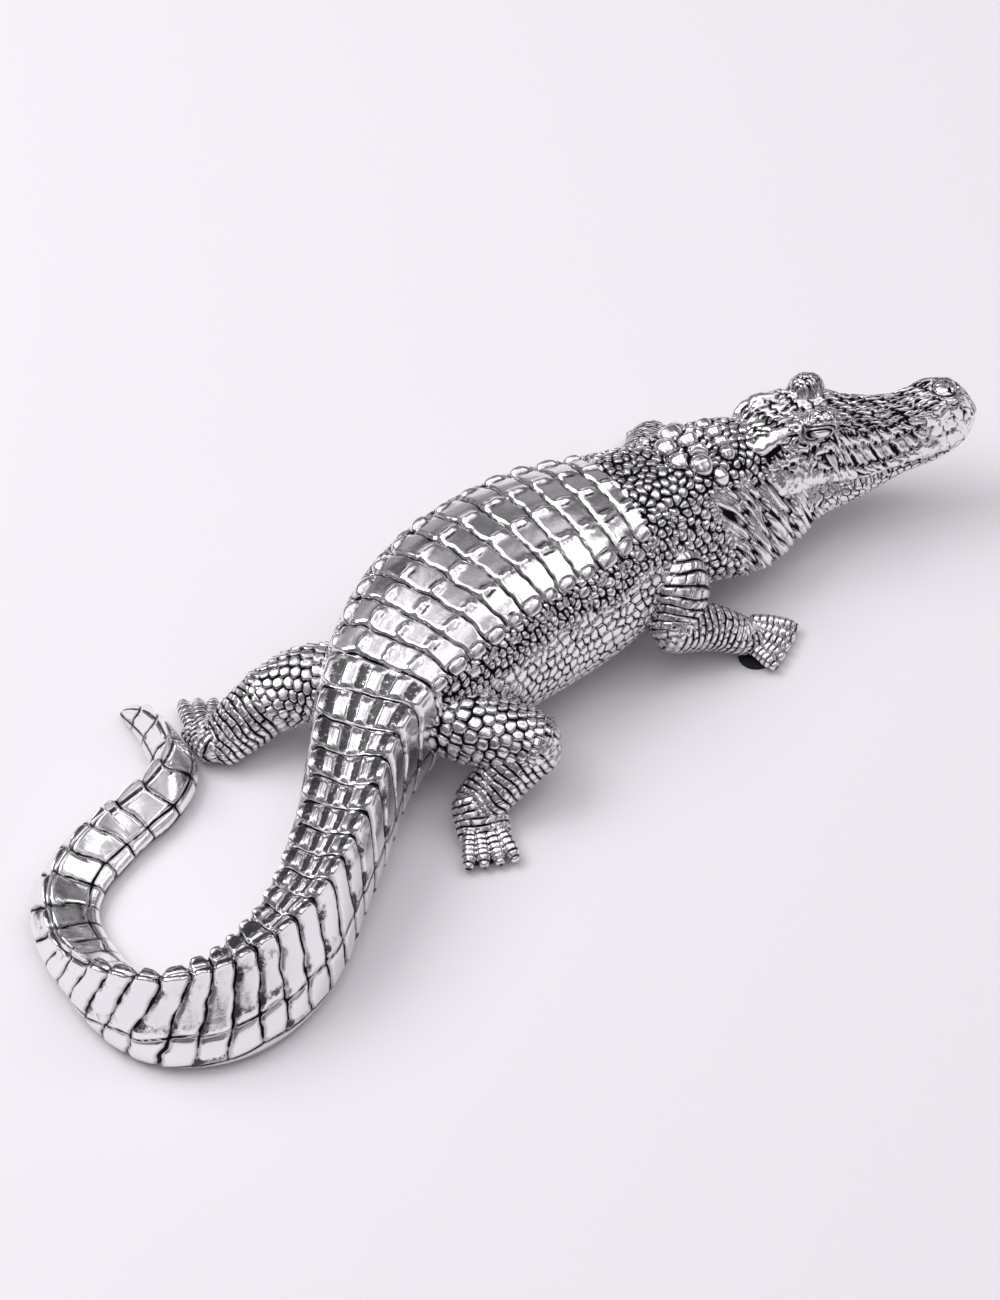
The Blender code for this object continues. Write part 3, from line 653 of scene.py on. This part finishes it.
# %% Body pieces
def body_carving(body):
    """Height, groove and stain of the whole body."""
    share, places = body["share"], body["places"]
    trunk = mix(flank_carving(body), shield_carving(body), smooth_step(1.08, 1.0, share))
    trunk = edge_knobs(trunk, body)
    tail = mix(tail_wall_carving(body), tail_top_carving(body), smooth_step(1.10, 0.98, share))
    carving = mix(trunk, tail, smooth_step(HIP + 0.004, HIP - 0.006, places))
    neck = nape_bumps(neck_carving(body), body)
    return mix(carving, neck, smooth_step(SHIELD_FRONT - 0.001, SHIELD_FRONT + 0.001, places))


def body_piece(name, places, columns, tuck):
    """The skin of a stretch of the body: the grid moved out by its carving, its tucked rows drawn in."""
    body = body_grid(places, columns)
    height, groove, stain_and_shade = body_carving(body)
    slim = np.clip(body["tall"] / 0.040, 0.3, 1)
    thin = 1 - 0.75 * smooth_step(0.0060, 0.0035, body["edge"]) * smooth_step(1.3, 0.6, body["side"])
    quiet = smooth_step(4.0, 3.5, body["side"]) * slim * thin
    grid = body["grid"] + grid_normals(body["grid"]) * (height * quiet)[..., None]
    grid = grid + body["upright"] * crest(body)[..., None]
    middle = grid.mean(axis=1, keepdims=True)
    grid = middle + (grid - middle) * (1 - tuck)[:, None, None]
    grid[..., 2] = np.maximum(grid[..., 2], SOLE)
    thing = closed_skin(name, grid, groove, stain_and_shade)
    print(name, len(thing.data.polygons), "faces")
    return thing


trunk_places = np.linspace(HIP - 0.0006, SHIELD_FRONT + 0.006, 300)
trunk_columns = np.concatenate((np.linspace(0, 3, 145), np.linspace(3, 4, 20)[1:]))
trunk = body_piece("trunk", trunk_places, trunk_columns,
                   0.10 * smooth_step(HIP + 0.0008, HIP - 0.0006, trunk_places)
                   + 0.08 * smooth_step(SHIELD_FRONT + 0.0005, SHIELD_FRONT + 0.0025, trunk_places))

neck_places = np.linspace(SHIELD_FRONT - 0.0002, BODY_DISTANCE[-1] - 0.0005, 225)
neck_columns = np.concatenate((np.linspace(0, 3, 136), np.linspace(3, 4, 20)[1:]))
neck = body_piece("neck", neck_places, neck_columns,
                  0.10 * smooth_step(SHIELD_FRONT + 0.0008, SHIELD_FRONT - 0.0002, neck_places))

tail_places = np.concatenate(([0.0004], np.linspace(0.001, HIP + 0.010, 620)))
tail_columns = np.concatenate((np.linspace(0, 1, 20), np.linspace(1, 3, 50)[1:], np.linspace(3, 4, 9)[1:]))
tail = body_piece("tail", tail_places, tail_columns,
                  0.08 * smooth_step(HIP - 0.0008, HIP + 0.0015, tail_places))

# %% [markdown]
# ## Head
#
# The head is swept straight along its own line, with its own corners: the top, the brow, the upper lip, the
# mouth line set back between the lips, the lower jaw, its corner and the throat. The knobs over the eyes and
# the raised nostrils are balls that the skin is pushed out to.

# %% Head: the smooth volume
def head_point(along, out, up):
    """Turns (along, out, up) of the head to the world: place + along heading + out left + up z."""
    ahead = np.array((math.cos(HEAD_YAW), math.sin(HEAD_YAW)))
    flat = HEAD_PLACE[:2] + along[..., None] * ahead + out[..., None] * np.array((-ahead[1], ahead[0]))
    return np.concatenate((flat, up[..., None]), axis=-1)


def head_grid(places, columns):
    """The rings of the head in its own (along, out, up), with the mouth line cut in between the lips."""
    at = through(HEAD[:, 0], HEAD, places)
    cut_in = np.clip((places / SHARE - MOUTH_CORNER) / 10, 0, 1) * np.clip(at[:, 6] / (20 * SHARE), 0, 1)
    at[:, 6] = at[:, 6] - cut_in * MOUTH_DEPTH
    none = np.zeros(len(places))
    corners = np.column_stack((none, at[:, 1:12], none, at[:, 12])).reshape(-1, 7, 2)
    ring, around = ring_through(corners, columns)
    along = np.broadcast_to(at[:, :1], ring.shape[:2])
    return np.stack((along, ring[..., 0], ring[..., 1]), axis=-1), around


def swell(points, knob, inner_up, blend):
    """Pushes the skin out to a ball.

    On a ray from the inside, the distance becomes the smooth larger of itself and the ball's far side.
    """
    middle, radii = np.array(knob["middle"]) * SHARE, np.array(knob["radii"]) * SHARE
    sign = np.where(points[..., 1] < 0, -1.0, 1.0)
    out, up = np.abs(points[..., 1]), points[..., 2] - inner_up * SHARE
    far = np.maximum(np.hypot(out, up), 1e-6)
    way_out, way_up = out / far, up / far
    full = np.sqrt(np.clip(1 - ((points[..., 0] - middle[0]) / radii[0]) ** 2, 0.0025, 1))
    beside = smooth_step(0.05, 0.45, full)
    wide, tall = radii[1] * full, radii[2] * full
    from_out, from_up = -middle[1] / wide, (inner_up * SHARE - middle[2]) / tall
    a = (way_out / wide) ** 2 + (way_up / tall) ** 2
    b = from_out * way_out / wide + from_up * way_up / tall
    c = from_out**2 + from_up**2 - 1
    inside = b * b - a * c
    reach = np.where(inside > 0, (-b + np.sqrt(np.maximum(inside, 0))) / a, 0)
    share = np.clip(0.5 + 0.5 * (reach - far) / (blend * SHARE), 0, 1)
    grown = far + (reach - far) * share + blend * SHARE * share * (1 - share)
    grown = far + np.where(inside > 0, np.maximum(grown - far, 0), 0) * beside
    return np.stack((points[..., 0], sign * way_out * grown, way_up * grown + inner_up * SHARE), axis=-1)


# %% [markdown]
# ### The carving of the face
#
# The skull and the snout are covered in wrinkles, which turn into slanted strokes with dark pits on the side
# of the snout. Its end swells into a smooth bright bulge. A smooth band runs along the upper lip. Below it
# small teeth alternate with black gaps, and the lower jaw is covered in fine plates. The eye is an oval in
# two rings of lid, and the ear a slit under a smooth bar.

# %% Head: the carving
def face_rings(under, along, out, up):
    """The eye: a ball sqrt(1 - reach^2) in a slanted oval where reach is 1, and two lids outside it."""
    ahead, above = along - 56, up - 138.0
    reach = np.hypot((0.89 * ahead + 0.59 * above) / 10.0, (1.20 * above - 0.42 * ahead) / 7.6)
    on_side = smooth_step(19, 26, out)
    ball = 0.0013 * np.sqrt(np.clip(1 - reach**2, 0, 1))
    lid = 0.0010 * near(reach, 1.24, 0.13) + 0.0006 * near(reach, 1.66, 0.12)
    lines = np.minimum(np.abs(reach - 1) * 3.6, np.abs(reach - 1.46) * 4.5 + 0.12)
    close = smooth_step(1.95, 1.7, reach) * on_side
    return mix(under, (ball + lid - 0.0004, lines, 0.2 * near(reach, 1, 0.2)), close)


MOUTH_MIDDLE = (
    # along, corner number
    (0, 2.3), (30, 2.5), (76, 3.05), (98, 3.4), (126, 3.35),
    (140, 3.2), (160, 3.0), (175, 2.9), (195, 2.6), (214, 2.5),
)
MOUTH_HALF_WIDTH = (
    # along, corner numbers
    (0, 0.0), (16, 0.05), (30, 0.10), (60, 0.26), (98, 0.48), (195, 0.46), (214, 0.2),
)


def mouth_line(along):
    """Where the mouth shows: the corner number of its middle, and half its width in corner numbers."""
    return np.interp(along, *zip(*MOUTH_MIDDLE)), np.interp(along, *zip(*MOUTH_HALF_WIDTH))


def mouth(under, along, side):
    """A black gap round the mouth line. Teeth hang into it, and between them others stand in it."""
    middle, half = mouth_line(along)
    down = (side - middle + half) / np.maximum(2 * half, 0.01)
    gap = smooth_step(-0.12, 0.06, down) * smooth_step(1.12, 0.94, down) * smooth_step(14, 24, along)
    open_here = smooth_step(62, 80, along) * smooth_step(212, 204, along)
    wave = 0.5 + 0.5 * np.cos(along / 9.0 * 2 * math.pi + 0.8 * np.sin(along * 0.23))
    hanging = smooth_step(0.0, 0.16, wave - 0.30 - 0.62 * down)
    standing = smooth_step(0.0, 0.16, 0.60 - wave - 0.75 * (1 - down))
    tooth = np.maximum(hanging, standing) * open_here
    height, groove, stain_and_shade = under
    return (
        height * (1 - gap) + gap * (0.0015 * tooth - 0.0014 * (1 - tooth)),
        groove * (1 - gap) + gap * 1.9 * tooth,
        stain_and_shade * (1 - gap),
    )


def ear(under, smooth, along, out, up):
    """A slit from (-7, 112) up to (18, 128), and the smooth bar of its lid above it."""
    above = (up - 119 - 0.62 * (along - 5)) * 0.85
    beyond = np.clip(np.abs(along - 6) - 13, 0, 99)
    here = smooth_step(16, 22, out)
    bar = here * near(above, 6.5, 3.6) * smooth_step(-14, -6, along) * smooth_step(42, 32, along)
    slit = np.hypot(above, beyond)
    height, groove, stain_and_shade = mix(under, smooth, smooth_step(0.35, 0.7, bar))
    height = height + 0.0017 * bar - 0.0009 * near(slit, 0, 1.8) * here
    beside_slit = np.minimum(groove, np.clip((slit - 1.3) * 0.6, 0, FAR))
    return height, np.where(here > 0.5, beside_slit, groove), stain_and_shade


def head_carving(points, across, side):
    """Height, groove and stain of the head, from its points, the way round them and the corner number."""
    along, out, up = points[..., 0] / SHARE, np.abs(points[..., 1]) / SHARE, points[..., 2] / SHARE
    x = points[..., 0]
    flat = np.zeros(along.shape)
    skull = wrinkles(x, across, 0.0130, 0.0068, 0.0009, 2.0, 0.8)
    streaks = wrinkles(x, across, 0.0150, 0.0036, 0.0010, 4.0, 1.0)
    stroke, cut_across = 0.78 * (x + 0.8 * np.abs(across)), 0.78 * (np.abs(across) - 0.8 * x)
    cheek = wrinkles(stroke, cut_across, 0.0170, 0.0060, 0.0012, 6.0, 0.8)
    lids = wrinkles(x, across, 0.0050, 0.0034, 0.0006, 8.0, 1.5)
    jaw = plates(x, across, 0.0044, 0.0036, 0.0005, 12.0, 0.8, 0.0, 2.5)
    throat = plates(x, across, 0.0070, 0.0070, 0.0006, 14.0, 0.5, 0.0, 1.2)
    folds = wrinkles(x, across, 0.0110, 0.0085, 0.0005, 15.0, 1.0)
    smooth = (0.0009 + 0.00035 * ripple(along * 0.22, up * 0.2, 3.0), np.full(along.shape, FAR), flat)
    pitted = (folds[0] + 0.0006, folds[1] + 0.1, flat)

    carving = mix(skull, streaks, smooth_step(66, 82, along))
    carving = mix(carving, cheek, smooth_step(1.05, 1.3, side) * smooth_step(172, 150, along))
    over_eye = np.hypot((along - 60) / 17, (out - 23) / 14)
    carving = mix(carving, lids, smooth_step(1.15, 0.9, over_eye) * smooth_step(136, 142, up))
    bulge = np.hypot((along - 182) / 25, (up - 112) / 19)
    carving = mix(carving, pitted, smooth_step(1.0, 0.8, bulge) * smooth_step(0.35, 0.6, side))
    muscle = np.hypot((along - 20) / 17, (up - 97) / 8)
    carving = mix(carving, (smooth[0], jaw[1] * 1.3, flat), 0.7 * smooth_step(1.0, 0.6, muscle))
    height, groove, stain_and_shade = carving
    pit = np.hypot(np.sin(along * 0.42 + 0.8 * np.sin(up * 0.5)), np.sin(up * 0.52 + 1.3))
    deep = smooth_step(115, 130, along) * smooth_step(170, 158, along)
    deep = deep * smooth_step(0.7, 1.0, side) * smooth_step(1.9, 1.6, side)
    height = height - 0.0008 * smooth_step(0.5, 0.1, pit) * deep
    carving = (height, groove, np.maximum(stain_and_shade, 0.85 * smooth_step(0.65, 0.2, pit) * deep))

    middle, half = mouth_line(along)
    carving = mix(carving, jaw, smooth_step(0.0, 0.1, side - middle))
    carving = mix(carving, throat, smooth_step(4.9, 5.2, side))
    band = smooth_step(0.42, 0.28, np.abs(side - middle + half + 0.36)) * smooth_step(-8, 6, along)
    carving = mix(carving, (smooth[0] + 0.0004, folds[1] * 1.4 + 0.3, flat), band)
    carving = mouth(carving, along, side)
    carving = face_rings(carving, along, out, up)
    carving = ear(carving, smooth, along, out, up)

    disc = np.hypot((along - 183) / 11, out / 11)
    on_top = smooth_step(120, 124, up)
    ring = (
        0.0004 * smooth_step(1.0, 0.7, disc) + 0.0003 * folds[0] / 0.0005,
        np.minimum(np.abs(disc - 1) * 6.4 + 0.12, folds[1] * 2.2),
        flat,
    )
    carving = mix(carving, ring, smooth_step(1.35, 1.15, disc) * on_top)
    nostril = np.hypot((along - 186) / 1.5, (out - 5.5) / 2.6)
    height, groove, stain_and_shade = carving
    height = height - 0.0005 * smooth_step(1.4, 0.5, nostril) * on_top
    beside_hole = np.minimum(groove, np.clip(nostril - 0.5, 0, FAR))
    groove = np.where((nostril < 2.5) & (up > 122), beside_hole, groove)
    return height * smooth_step(214, 196, along), groove, stain_and_shade


steps = np.linspace(0, 1, 300)
head_places = HEAD[0, 0] + (HEAD[-1, 0] - HEAD[0, 0]) * (0.75 * steps + 0.25 * np.sin(steps * math.pi / 2))
head_columns = np.concatenate((
    np.linspace(0, 0.95, 24),
    np.linspace(0.95, 1.35, 30)[1:],
    np.linspace(1.35, 4, 64)[1:],
    np.linspace(4, 6, 24)[1:],
))
points, around = head_grid(head_places, head_columns)
points = swell(points, EYE_KNOB, 100, 3.0)
points = swell(points, NOSE_KNOB, 105, 1.5)
side = np.broadcast_to(np.minimum(around, 12 - around), points.shape[:2])
step = np.linalg.norm(np.diff(np.concatenate((points, points[:, :1]), axis=1), axis=1), axis=-1)
across = np.concatenate((np.zeros((len(points), 1)), np.cumsum(step, axis=1)[:, :-1]), axis=1)
across = np.where(around[None, :] <= 6, across, across - step.sum(axis=1, keepdims=True))
height, groove, stain_and_shade = head_carving(points, across, side)
points = points + grid_normals(points) * height[..., None]
head = closed_skin("head", head_point(points[..., 0], points[..., 1], points[..., 2]), groove, stain_and_shade)
print("head", len(head.data.polygons), "faces")

# %% [markdown]
# ## Legs
#
# A leg is three oval tubes that meet at the elbow or knee and at the ankle, with its toes set on the last
# one. The thighs carry overlapping scales, the other parts bands of small plates, and the toes are ringed.

# %% Legs
def rounded_tube(table, rings, sides):
    """An oval tube along its stations with rounded ends, and for each point its place along and around."""
    distance = running_length(table[:, :3])
    at = through(distance, table, np.linspace(0, distance[-1], rings))
    line, width, height = at[:, :3], at[:, 3], at[:, 4]
    heading = unit(np.gradient(line, axis=0))
    turn = np.linspace(1.5, 0.1, 12)
    reach = 0.8 * np.minimum(width, height)
    before = line[0] - heading[0] * (np.sin(turn) * reach[0])[:, None]
    beyond = line[-1] + heading[-1] * (np.sin(turn[::-1]) * reach[-1])[:, None]
    line = np.concatenate((before, line, beyond))
    width = np.concatenate((np.cos(turn) * width[0], width, np.cos(turn[::-1]) * width[-1]))
    height = np.concatenate((np.cos(turn) * height[0], height, np.cos(turn[::-1]) * height[-1]))
    across = unit(np.cross(unit(np.gradient(line, axis=0)), (0.0, 0.0, 1.0)))
    upright = np.cross(across, unit(np.gradient(line, axis=0)))
    angle = np.arange(sides) * 2 * math.pi / sides
    grid = (
        line[:, None, :]
        + across[:, None, :] * (np.cos(angle)[None, :] * width[:, None])[..., None]
        + upright[:, None, :] * (np.sin(angle)[None, :] * height[:, None])[..., None]
    )
    along = np.broadcast_to(running_length(line)[:, None], grid.shape[:2])
    girth = np.broadcast_to(np.median((width + height) / 2), (len(line),))
    around = np.abs(angle - math.pi)[None, :] * girth[:, None]
    return grid, along, around


LEG_BANDS = {
    # length, width and height of the plates
    "fore_upper": (0.0043, 0.0066, 0.0012),
    "fore_lower": (0.0038, 0.0050, 0.0011),
    "hind_lower": (0.0039, 0.0052, 0.0013),
    "toe": (0.0030, 0.0200, 0.0006),
}


def leg_carving(part, along, around, seed):
    """Overlapping scales on a thigh and bands on every other part, with thinner black lines on a toe."""
    if part == "hind_upper":
        return plates(around, along, 0.0062, 0.0050, 0.0017, seed, 0.35, 0.9)
    height, groove, stain_and_shade = bands(along, around, *LEG_BANDS[part], seed)
    return height, groove * (1.5 if part == "toe" else 1.0), stain_and_shade


def limb_piece(name, tube, part, seed):
    """A limb's skin, its points moved out by the carving of that part and none below the soles."""
    grid, along, around = tube
    height, groove, stain_and_shade = leg_carving(part, along, around, seed)
    # Painted shade: within about 1.4 mm above the sole, and fully within 0.3 mm, a limb is blackened through
    # the stain channel, as the shade next to the table.
    under = smooth_step(0.0042, 0.0031, grid[..., 2])
    grid = grid + grid_normals(grid) * (height - 0.0004)[..., None]
    grid[..., 2] = np.maximum(grid[..., 2], SOLE)
    return closed_skin(name, grid, groove, np.maximum(stain_and_shade, 0.9 * under))


silver_pieces = [trunk, neck, tail, head]
for number, (name, leg) in enumerate(LEGS.items()):
    kind = name.split("_")[1]
    fine = 0.6 if name == "left_fore" else 1.0
    table = np.array(leg["upper"] + leg["lower"] + leg["foot"], float) * SHARE
    joint = len(leg["upper"]) - 1
    ankle = joint + len(leg["lower"])
    upper = rounded_tube(table[: joint + 1], int(104 * fine), int(128 * fine))
    lower = rounded_tube(table[joint : ankle + 1], int(80 * fine), int(110 * fine))
    foot = rounded_tube(table[ankle:], int(40 * fine), int(88 * fine))
    silver_pieces.append(limb_piece(name + "_leg_upper", upper, kind + "_upper", 11.0 + number))
    silver_pieces.append(limb_piece(name + "_leg_lower", lower, kind + "_lower", 21.0 + number))
    silver_pieces.append(limb_piece(name + "_foot", foot, kind + "_lower", 31.0 + number))
    palm = table[-1, :3]
    way = palm - table[ankle, :3]
    toes, gap, turned = leg["toes"]
    facing = math.atan2(way[1], way[0]) + math.radians(turned)
    aside = np.array((-math.sin(facing), math.cos(facing), 0.0))
    for toe in range(toes):
        place = toe - (toes - 1) / 2
        turn = facing + math.radians(place * TOE_FAN)
        ahead = np.array((math.cos(turn), math.sin(turn), 0.0))
        line = palm + aside * (place * gap * SHARE) + ahead * (TOE_PLACES * TOE_LENGTH * SHARE)[:, None]
        line[:, 2] = SOLE + TOE_RADIUS * SHARE * TOE_HEIGHTS
        girth = TOE_RADIUS * SHARE * TOE_GIRTHS
        tube = rounded_tube(np.column_stack((line, girth, girth)), 40, 28)
        silver_pieces.append(limb_piece(f"{name}_toe_{toe}", tube, "toe", 41.0 + toe))

for piece in silver_pieces:
    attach(piece, "root")
    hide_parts("crocodile")
triangles = {p.name: sum(len(f.vertices) - 2 for f in p.data.polygons) for p in silver_pieces}
most = max(triangles.values())
print(len(silver_pieces), "silver pieces,", sum(triangles.values()), "triangles, most in one", most)

# %% [markdown]
# ## Plating and felt
#
# The plating is nearly a mirror. The black is a matt film that stays where the wiping cloth can't reach, so
# it lies in the grooves, about half a millimetre to each side, and in smudges where the carving says stain.
# The same black is also painted on the lowest part of each leg, next to the table, as shade.

# %% Plating and felt
def new_material(name):
    """An empty material and its principled shader."""
    material = bpy.data.materials.new(name)
    material.use_nodes = True
    return material, material.node_tree, material.node_tree.nodes["Principled BSDF"]


def add_node(tree, kind, **inputs):
    """A node of that kind with some of its sockets set, by name."""
    node = tree.nodes.new(kind)
    for socket, value in inputs.items():
        node.inputs[socket].default_value = value
    return node


def add_noise(tree, place, scale, detail):
    """Noise over the object's own coordinates."""
    node = add_node(tree, "ShaderNodeTexNoise", Scale=scale, Detail=detail, Roughness=0.6)
    tree.links.new(place.outputs["Object"], node.inputs["Vector"])
    return node.outputs["Fac"]


def add_range(tree, value, low, high, to_low, to_high):
    """Smoothly turns value from low..high into to_low..to_high."""
    node = tree.nodes.new("ShaderNodeMapRange")
    node.interpolation_type = "SMOOTHSTEP"
    for socket, number in (("From Min", low), ("From Max", high), ("To Min", to_low), ("To Max", to_high)):
        node.inputs[socket].default_value = number
    tree.links.new(value, node.inputs["Value"])
    return node.outputs["Result"]


def add_math(tree, operation, first, second):
    """first operation second, each a socket or a number."""
    node = tree.nodes.new("ShaderNodeMath")
    node.operation = operation
    for number, value in enumerate((first, second)):
        if isinstance(value, (int, float)):
            node.inputs[number].default_value = value
        else:
            tree.links.new(value, node.inputs[number])
    return node.outputs["Value"]


def silver_material():
    """Bright plating, black within about half a millimetre of a groove, in smudges and in painted shade,
    faintly clouded.
    """
    material, tree, shader = new_material("antiqued silver plating")
    place = tree.nodes.new("ShaderNodeTexCoord")
    groove = tree.nodes.new("ShaderNodeAttribute")
    groove.attribute_name = "groove"
    stain_and_shade = tree.nodes.new("ShaderNodeAttribute")
    stain_and_shade.attribute_name = "stain_and_shade"
    fine = add_noise(tree, place, 1400.0, 3.0)
    cloud = add_noise(tree, place, 330.0, 5.0)
    broad = add_noise(tree, place, 120.0, 3.0)
    uneven = add_math(tree, "ADD", groove.outputs["Fac"], add_range(tree, broad, 0.35, 0.65, 0.16, -0.16))
    line = add_range(tree, uneven, 0.28, 0.66, 1.0, 0.0)
    speckle = add_math(tree, "ADD", cloud, add_math(tree, "MULTIPLY", fine, 0.6))
    # The stain channel brings real patina smudges and, low on the legs, painted shade; both turn black here.
    smudge_and_shade = add_math(tree, "MULTIPLY", stain_and_shade.outputs["Fac"], speckle)
    patch = add_range(tree, smudge_and_shade, 0.40, 0.62, 0.0, 0.92)
    black = add_math(tree, "MAXIMUM", line, patch)
    grime = add_range(tree, uneven, 0.6, 1.5, 0.42, 0.0)
    dark = add_math(tree, "MAXIMUM", black, grime)
    colour = tree.nodes.new("ShaderNodeMix")
    colour.data_type = "RGBA"
    colour.inputs["A"].default_value = (0.90, 0.885, 0.905, 1)
    colour.inputs["B"].default_value = (0.010, 0.009, 0.010, 1)
    tree.links.new(dark, colour.inputs["Factor"])
    tree.links.new(colour.outputs["Result"], shader.inputs["Base Color"])
    shader.inputs["Metallic"].default_value = 1.0
    polish = add_range(tree, cloud, 0.3, 0.7, 0.10, 0.20)
    dulled = add_math(tree, "ADD", polish, add_math(tree, "MULTIPLY", black, 0.35))
    tree.links.new(dulled, shader.inputs["Roughness"])
    rounding = add_range(tree, groove.outputs["Fac"], 0.0, 0.9, 0.0, 1.0)
    relief = add_math(tree, "ADD", rounding, add_math(tree, "MULTIPLY", cloud, 0.22))
    bump = add_node(tree, "ShaderNodeBump", Strength=0.9, Distance=0.0004)
    tree.links.new(relief, bump.inputs["Height"])
    tree.links.new(bump.outputs["Normal"], shader.inputs["Normal"])
    return material


def felt_material():
    """Black felt: matt, with a fine nap."""
    material, tree, shader = new_material("black felt")
    shader.inputs["Base Color"].default_value = (0.012, 0.012, 0.014, 1)
    shader.inputs["Roughness"].default_value = 0.95
    place = tree.nodes.new("ShaderNodeTexCoord")
    bump = add_node(tree, "ShaderNodeBump", Strength=0.5, Distance=0.0003)
    tree.links.new(add_noise(tree, place, 2500.0, 3.0), bump.inputs["Height"])
    tree.links.new(bump.outputs["Normal"], shader.inputs["Normal"])
    return material


silver = silver_material()
for piece in silver_pieces:
    piece.data.materials.append(silver)
felt = felt_material()
for name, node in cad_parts.items():
    if name.endswith("_pad"):
        node.data.materials.clear()
        node.data.materials.append(felt)

# %% [markdown]
# ## Table, light and camera
#
# The object stands on a plain pale table in a soft studio light, and the camera looks down on it from its
# right side, as a product photographer would. The room is darker near the horizon than overhead and unevenly
# bright, as if things stood about in it, which gives the plating something to reflect.

# %% Table, light and camera
def stage_floor():
    """A pale table so large that its edge never shows."""
    mesh = bpy.data.meshes.new("table")
    half = 6.0
    corners = [(-half, -half, 0), (half, -half, 0), (half, half, 0), (-half, half, 0)]
    mesh.from_pydata(corners, [], [(0, 1, 2, 3)])
    floor = bpy.data.objects.new("table", mesh)
    material, _, shader = new_material("pale table")
    shader.inputs["Base Color"].default_value = (0.90, 0.875, 0.91, 1)
    shader.inputs["Roughness"].default_value = 0.75
    mesh.materials.append(material)
    bpy.context.scene.collection.objects.link(floor)
    return floor


def soft_light(name, place, aim, wide, tall, power):
    """A rectangular lamp of a given size that faces aim."""
    data = bpy.data.lights.new(name, "AREA")
    data.shape = "RECTANGLE"
    data.size = wide
    data.size_y = tall
    data.energy = power
    lamp = bpy.data.objects.new(name, data)
    lamp.location = place
    lamp.rotation_euler = (Vector(aim) - Vector(place)).to_track_quat("-Z", "Y").to_euler()
    bpy.context.scene.collection.objects.link(lamp)
    return lamp


def room():
    """A studio room: dim near the horizon and bright overhead, times 0.35 to 1.25 from place to place."""
    world = bpy.data.worlds.new("studio")
    world.use_nodes = True
    tree = world.node_tree
    direction = tree.nodes.new("ShaderNodeTexCoord")
    split = tree.nodes.new("ShaderNodeSeparateXYZ")
    tree.links.new(direction.outputs["Generated"], split.inputs["Vector"])
    ramp = tree.nodes.new("ShaderNodeValToRGB")
    stops = ((0.0, 0.30), (0.45, 0.24), (0.70, 0.55), (0.86, 1.1), (1.0, 1.2))
    for number, (place, level) in enumerate(stops):
        stop = ramp.color_ramp.elements[number] if number < 2 else ramp.color_ramp.elements.new(place)
        stop.position = place
        stop.color = (level, level * 0.965, level * 1.01, 1)
    tree.links.new(split.outputs["Z"], ramp.inputs["Fac"])
    clutter = add_node(tree, "ShaderNodeTexNoise", Scale=3.2, Detail=1.0)
    tree.links.new(direction.outputs["Generated"], clutter.inputs["Vector"])
    shade = add_range(tree, clutter.outputs["Fac"], 0.38, 0.62, 0.35, 1.25)
    dimmed = tree.nodes.new("ShaderNodeVectorMath")
    dimmed.operation = "SCALE"
    tree.links.new(ramp.outputs["Color"], dimmed.inputs["Vector"])
    tree.links.new(shade, dimmed.inputs["Scale"])
    tree.links.new(dimmed.outputs["Vector"], tree.nodes["Background"].inputs["Color"])
    tree.nodes["Background"].inputs["Strength"].default_value = 1.14
    return world


floor = stage_floor()
soft_light("window", (-0.9, 1.2, 1.9), (0, 0, 0), 1.9, 1.4, 27)
soft_light("fill", (1.5, -0.6, 1.7), (0, 0, 0), 0.9, 0.9, 4)
bpy.context.scene.world = room()
# Colours are shown as they are. A film curve would turn the bright plating grey.
bpy.context.scene.view_settings.view_transform = "Standard"

AIM = Vector((0.0217, 0.0175, 0.0)) + Vector(SHIFT)
AZIMUTH, ELEVATION, AWAY = math.radians(-40.0), math.radians(48.0), 2.682
camera = bpy.data.objects.new("camera", bpy.data.cameras.new("camera"))
back = Vector((
    math.sin(AZIMUTH) * math.cos(ELEVATION),
    -math.cos(AZIMUTH) * math.cos(ELEVATION),
    math.sin(ELEVATION),
))
camera.location = AIM + back * AWAY
camera.rotation_euler = (-back).to_track_quat("-Z", "Y").to_euler()
camera.data.sensor_width = 36.0
camera.data.lens = 144.0
camera.data.clip_end = 30.0
bpy.context.scene.collection.objects.link(camera)
bpy.context.scene.camera = camera
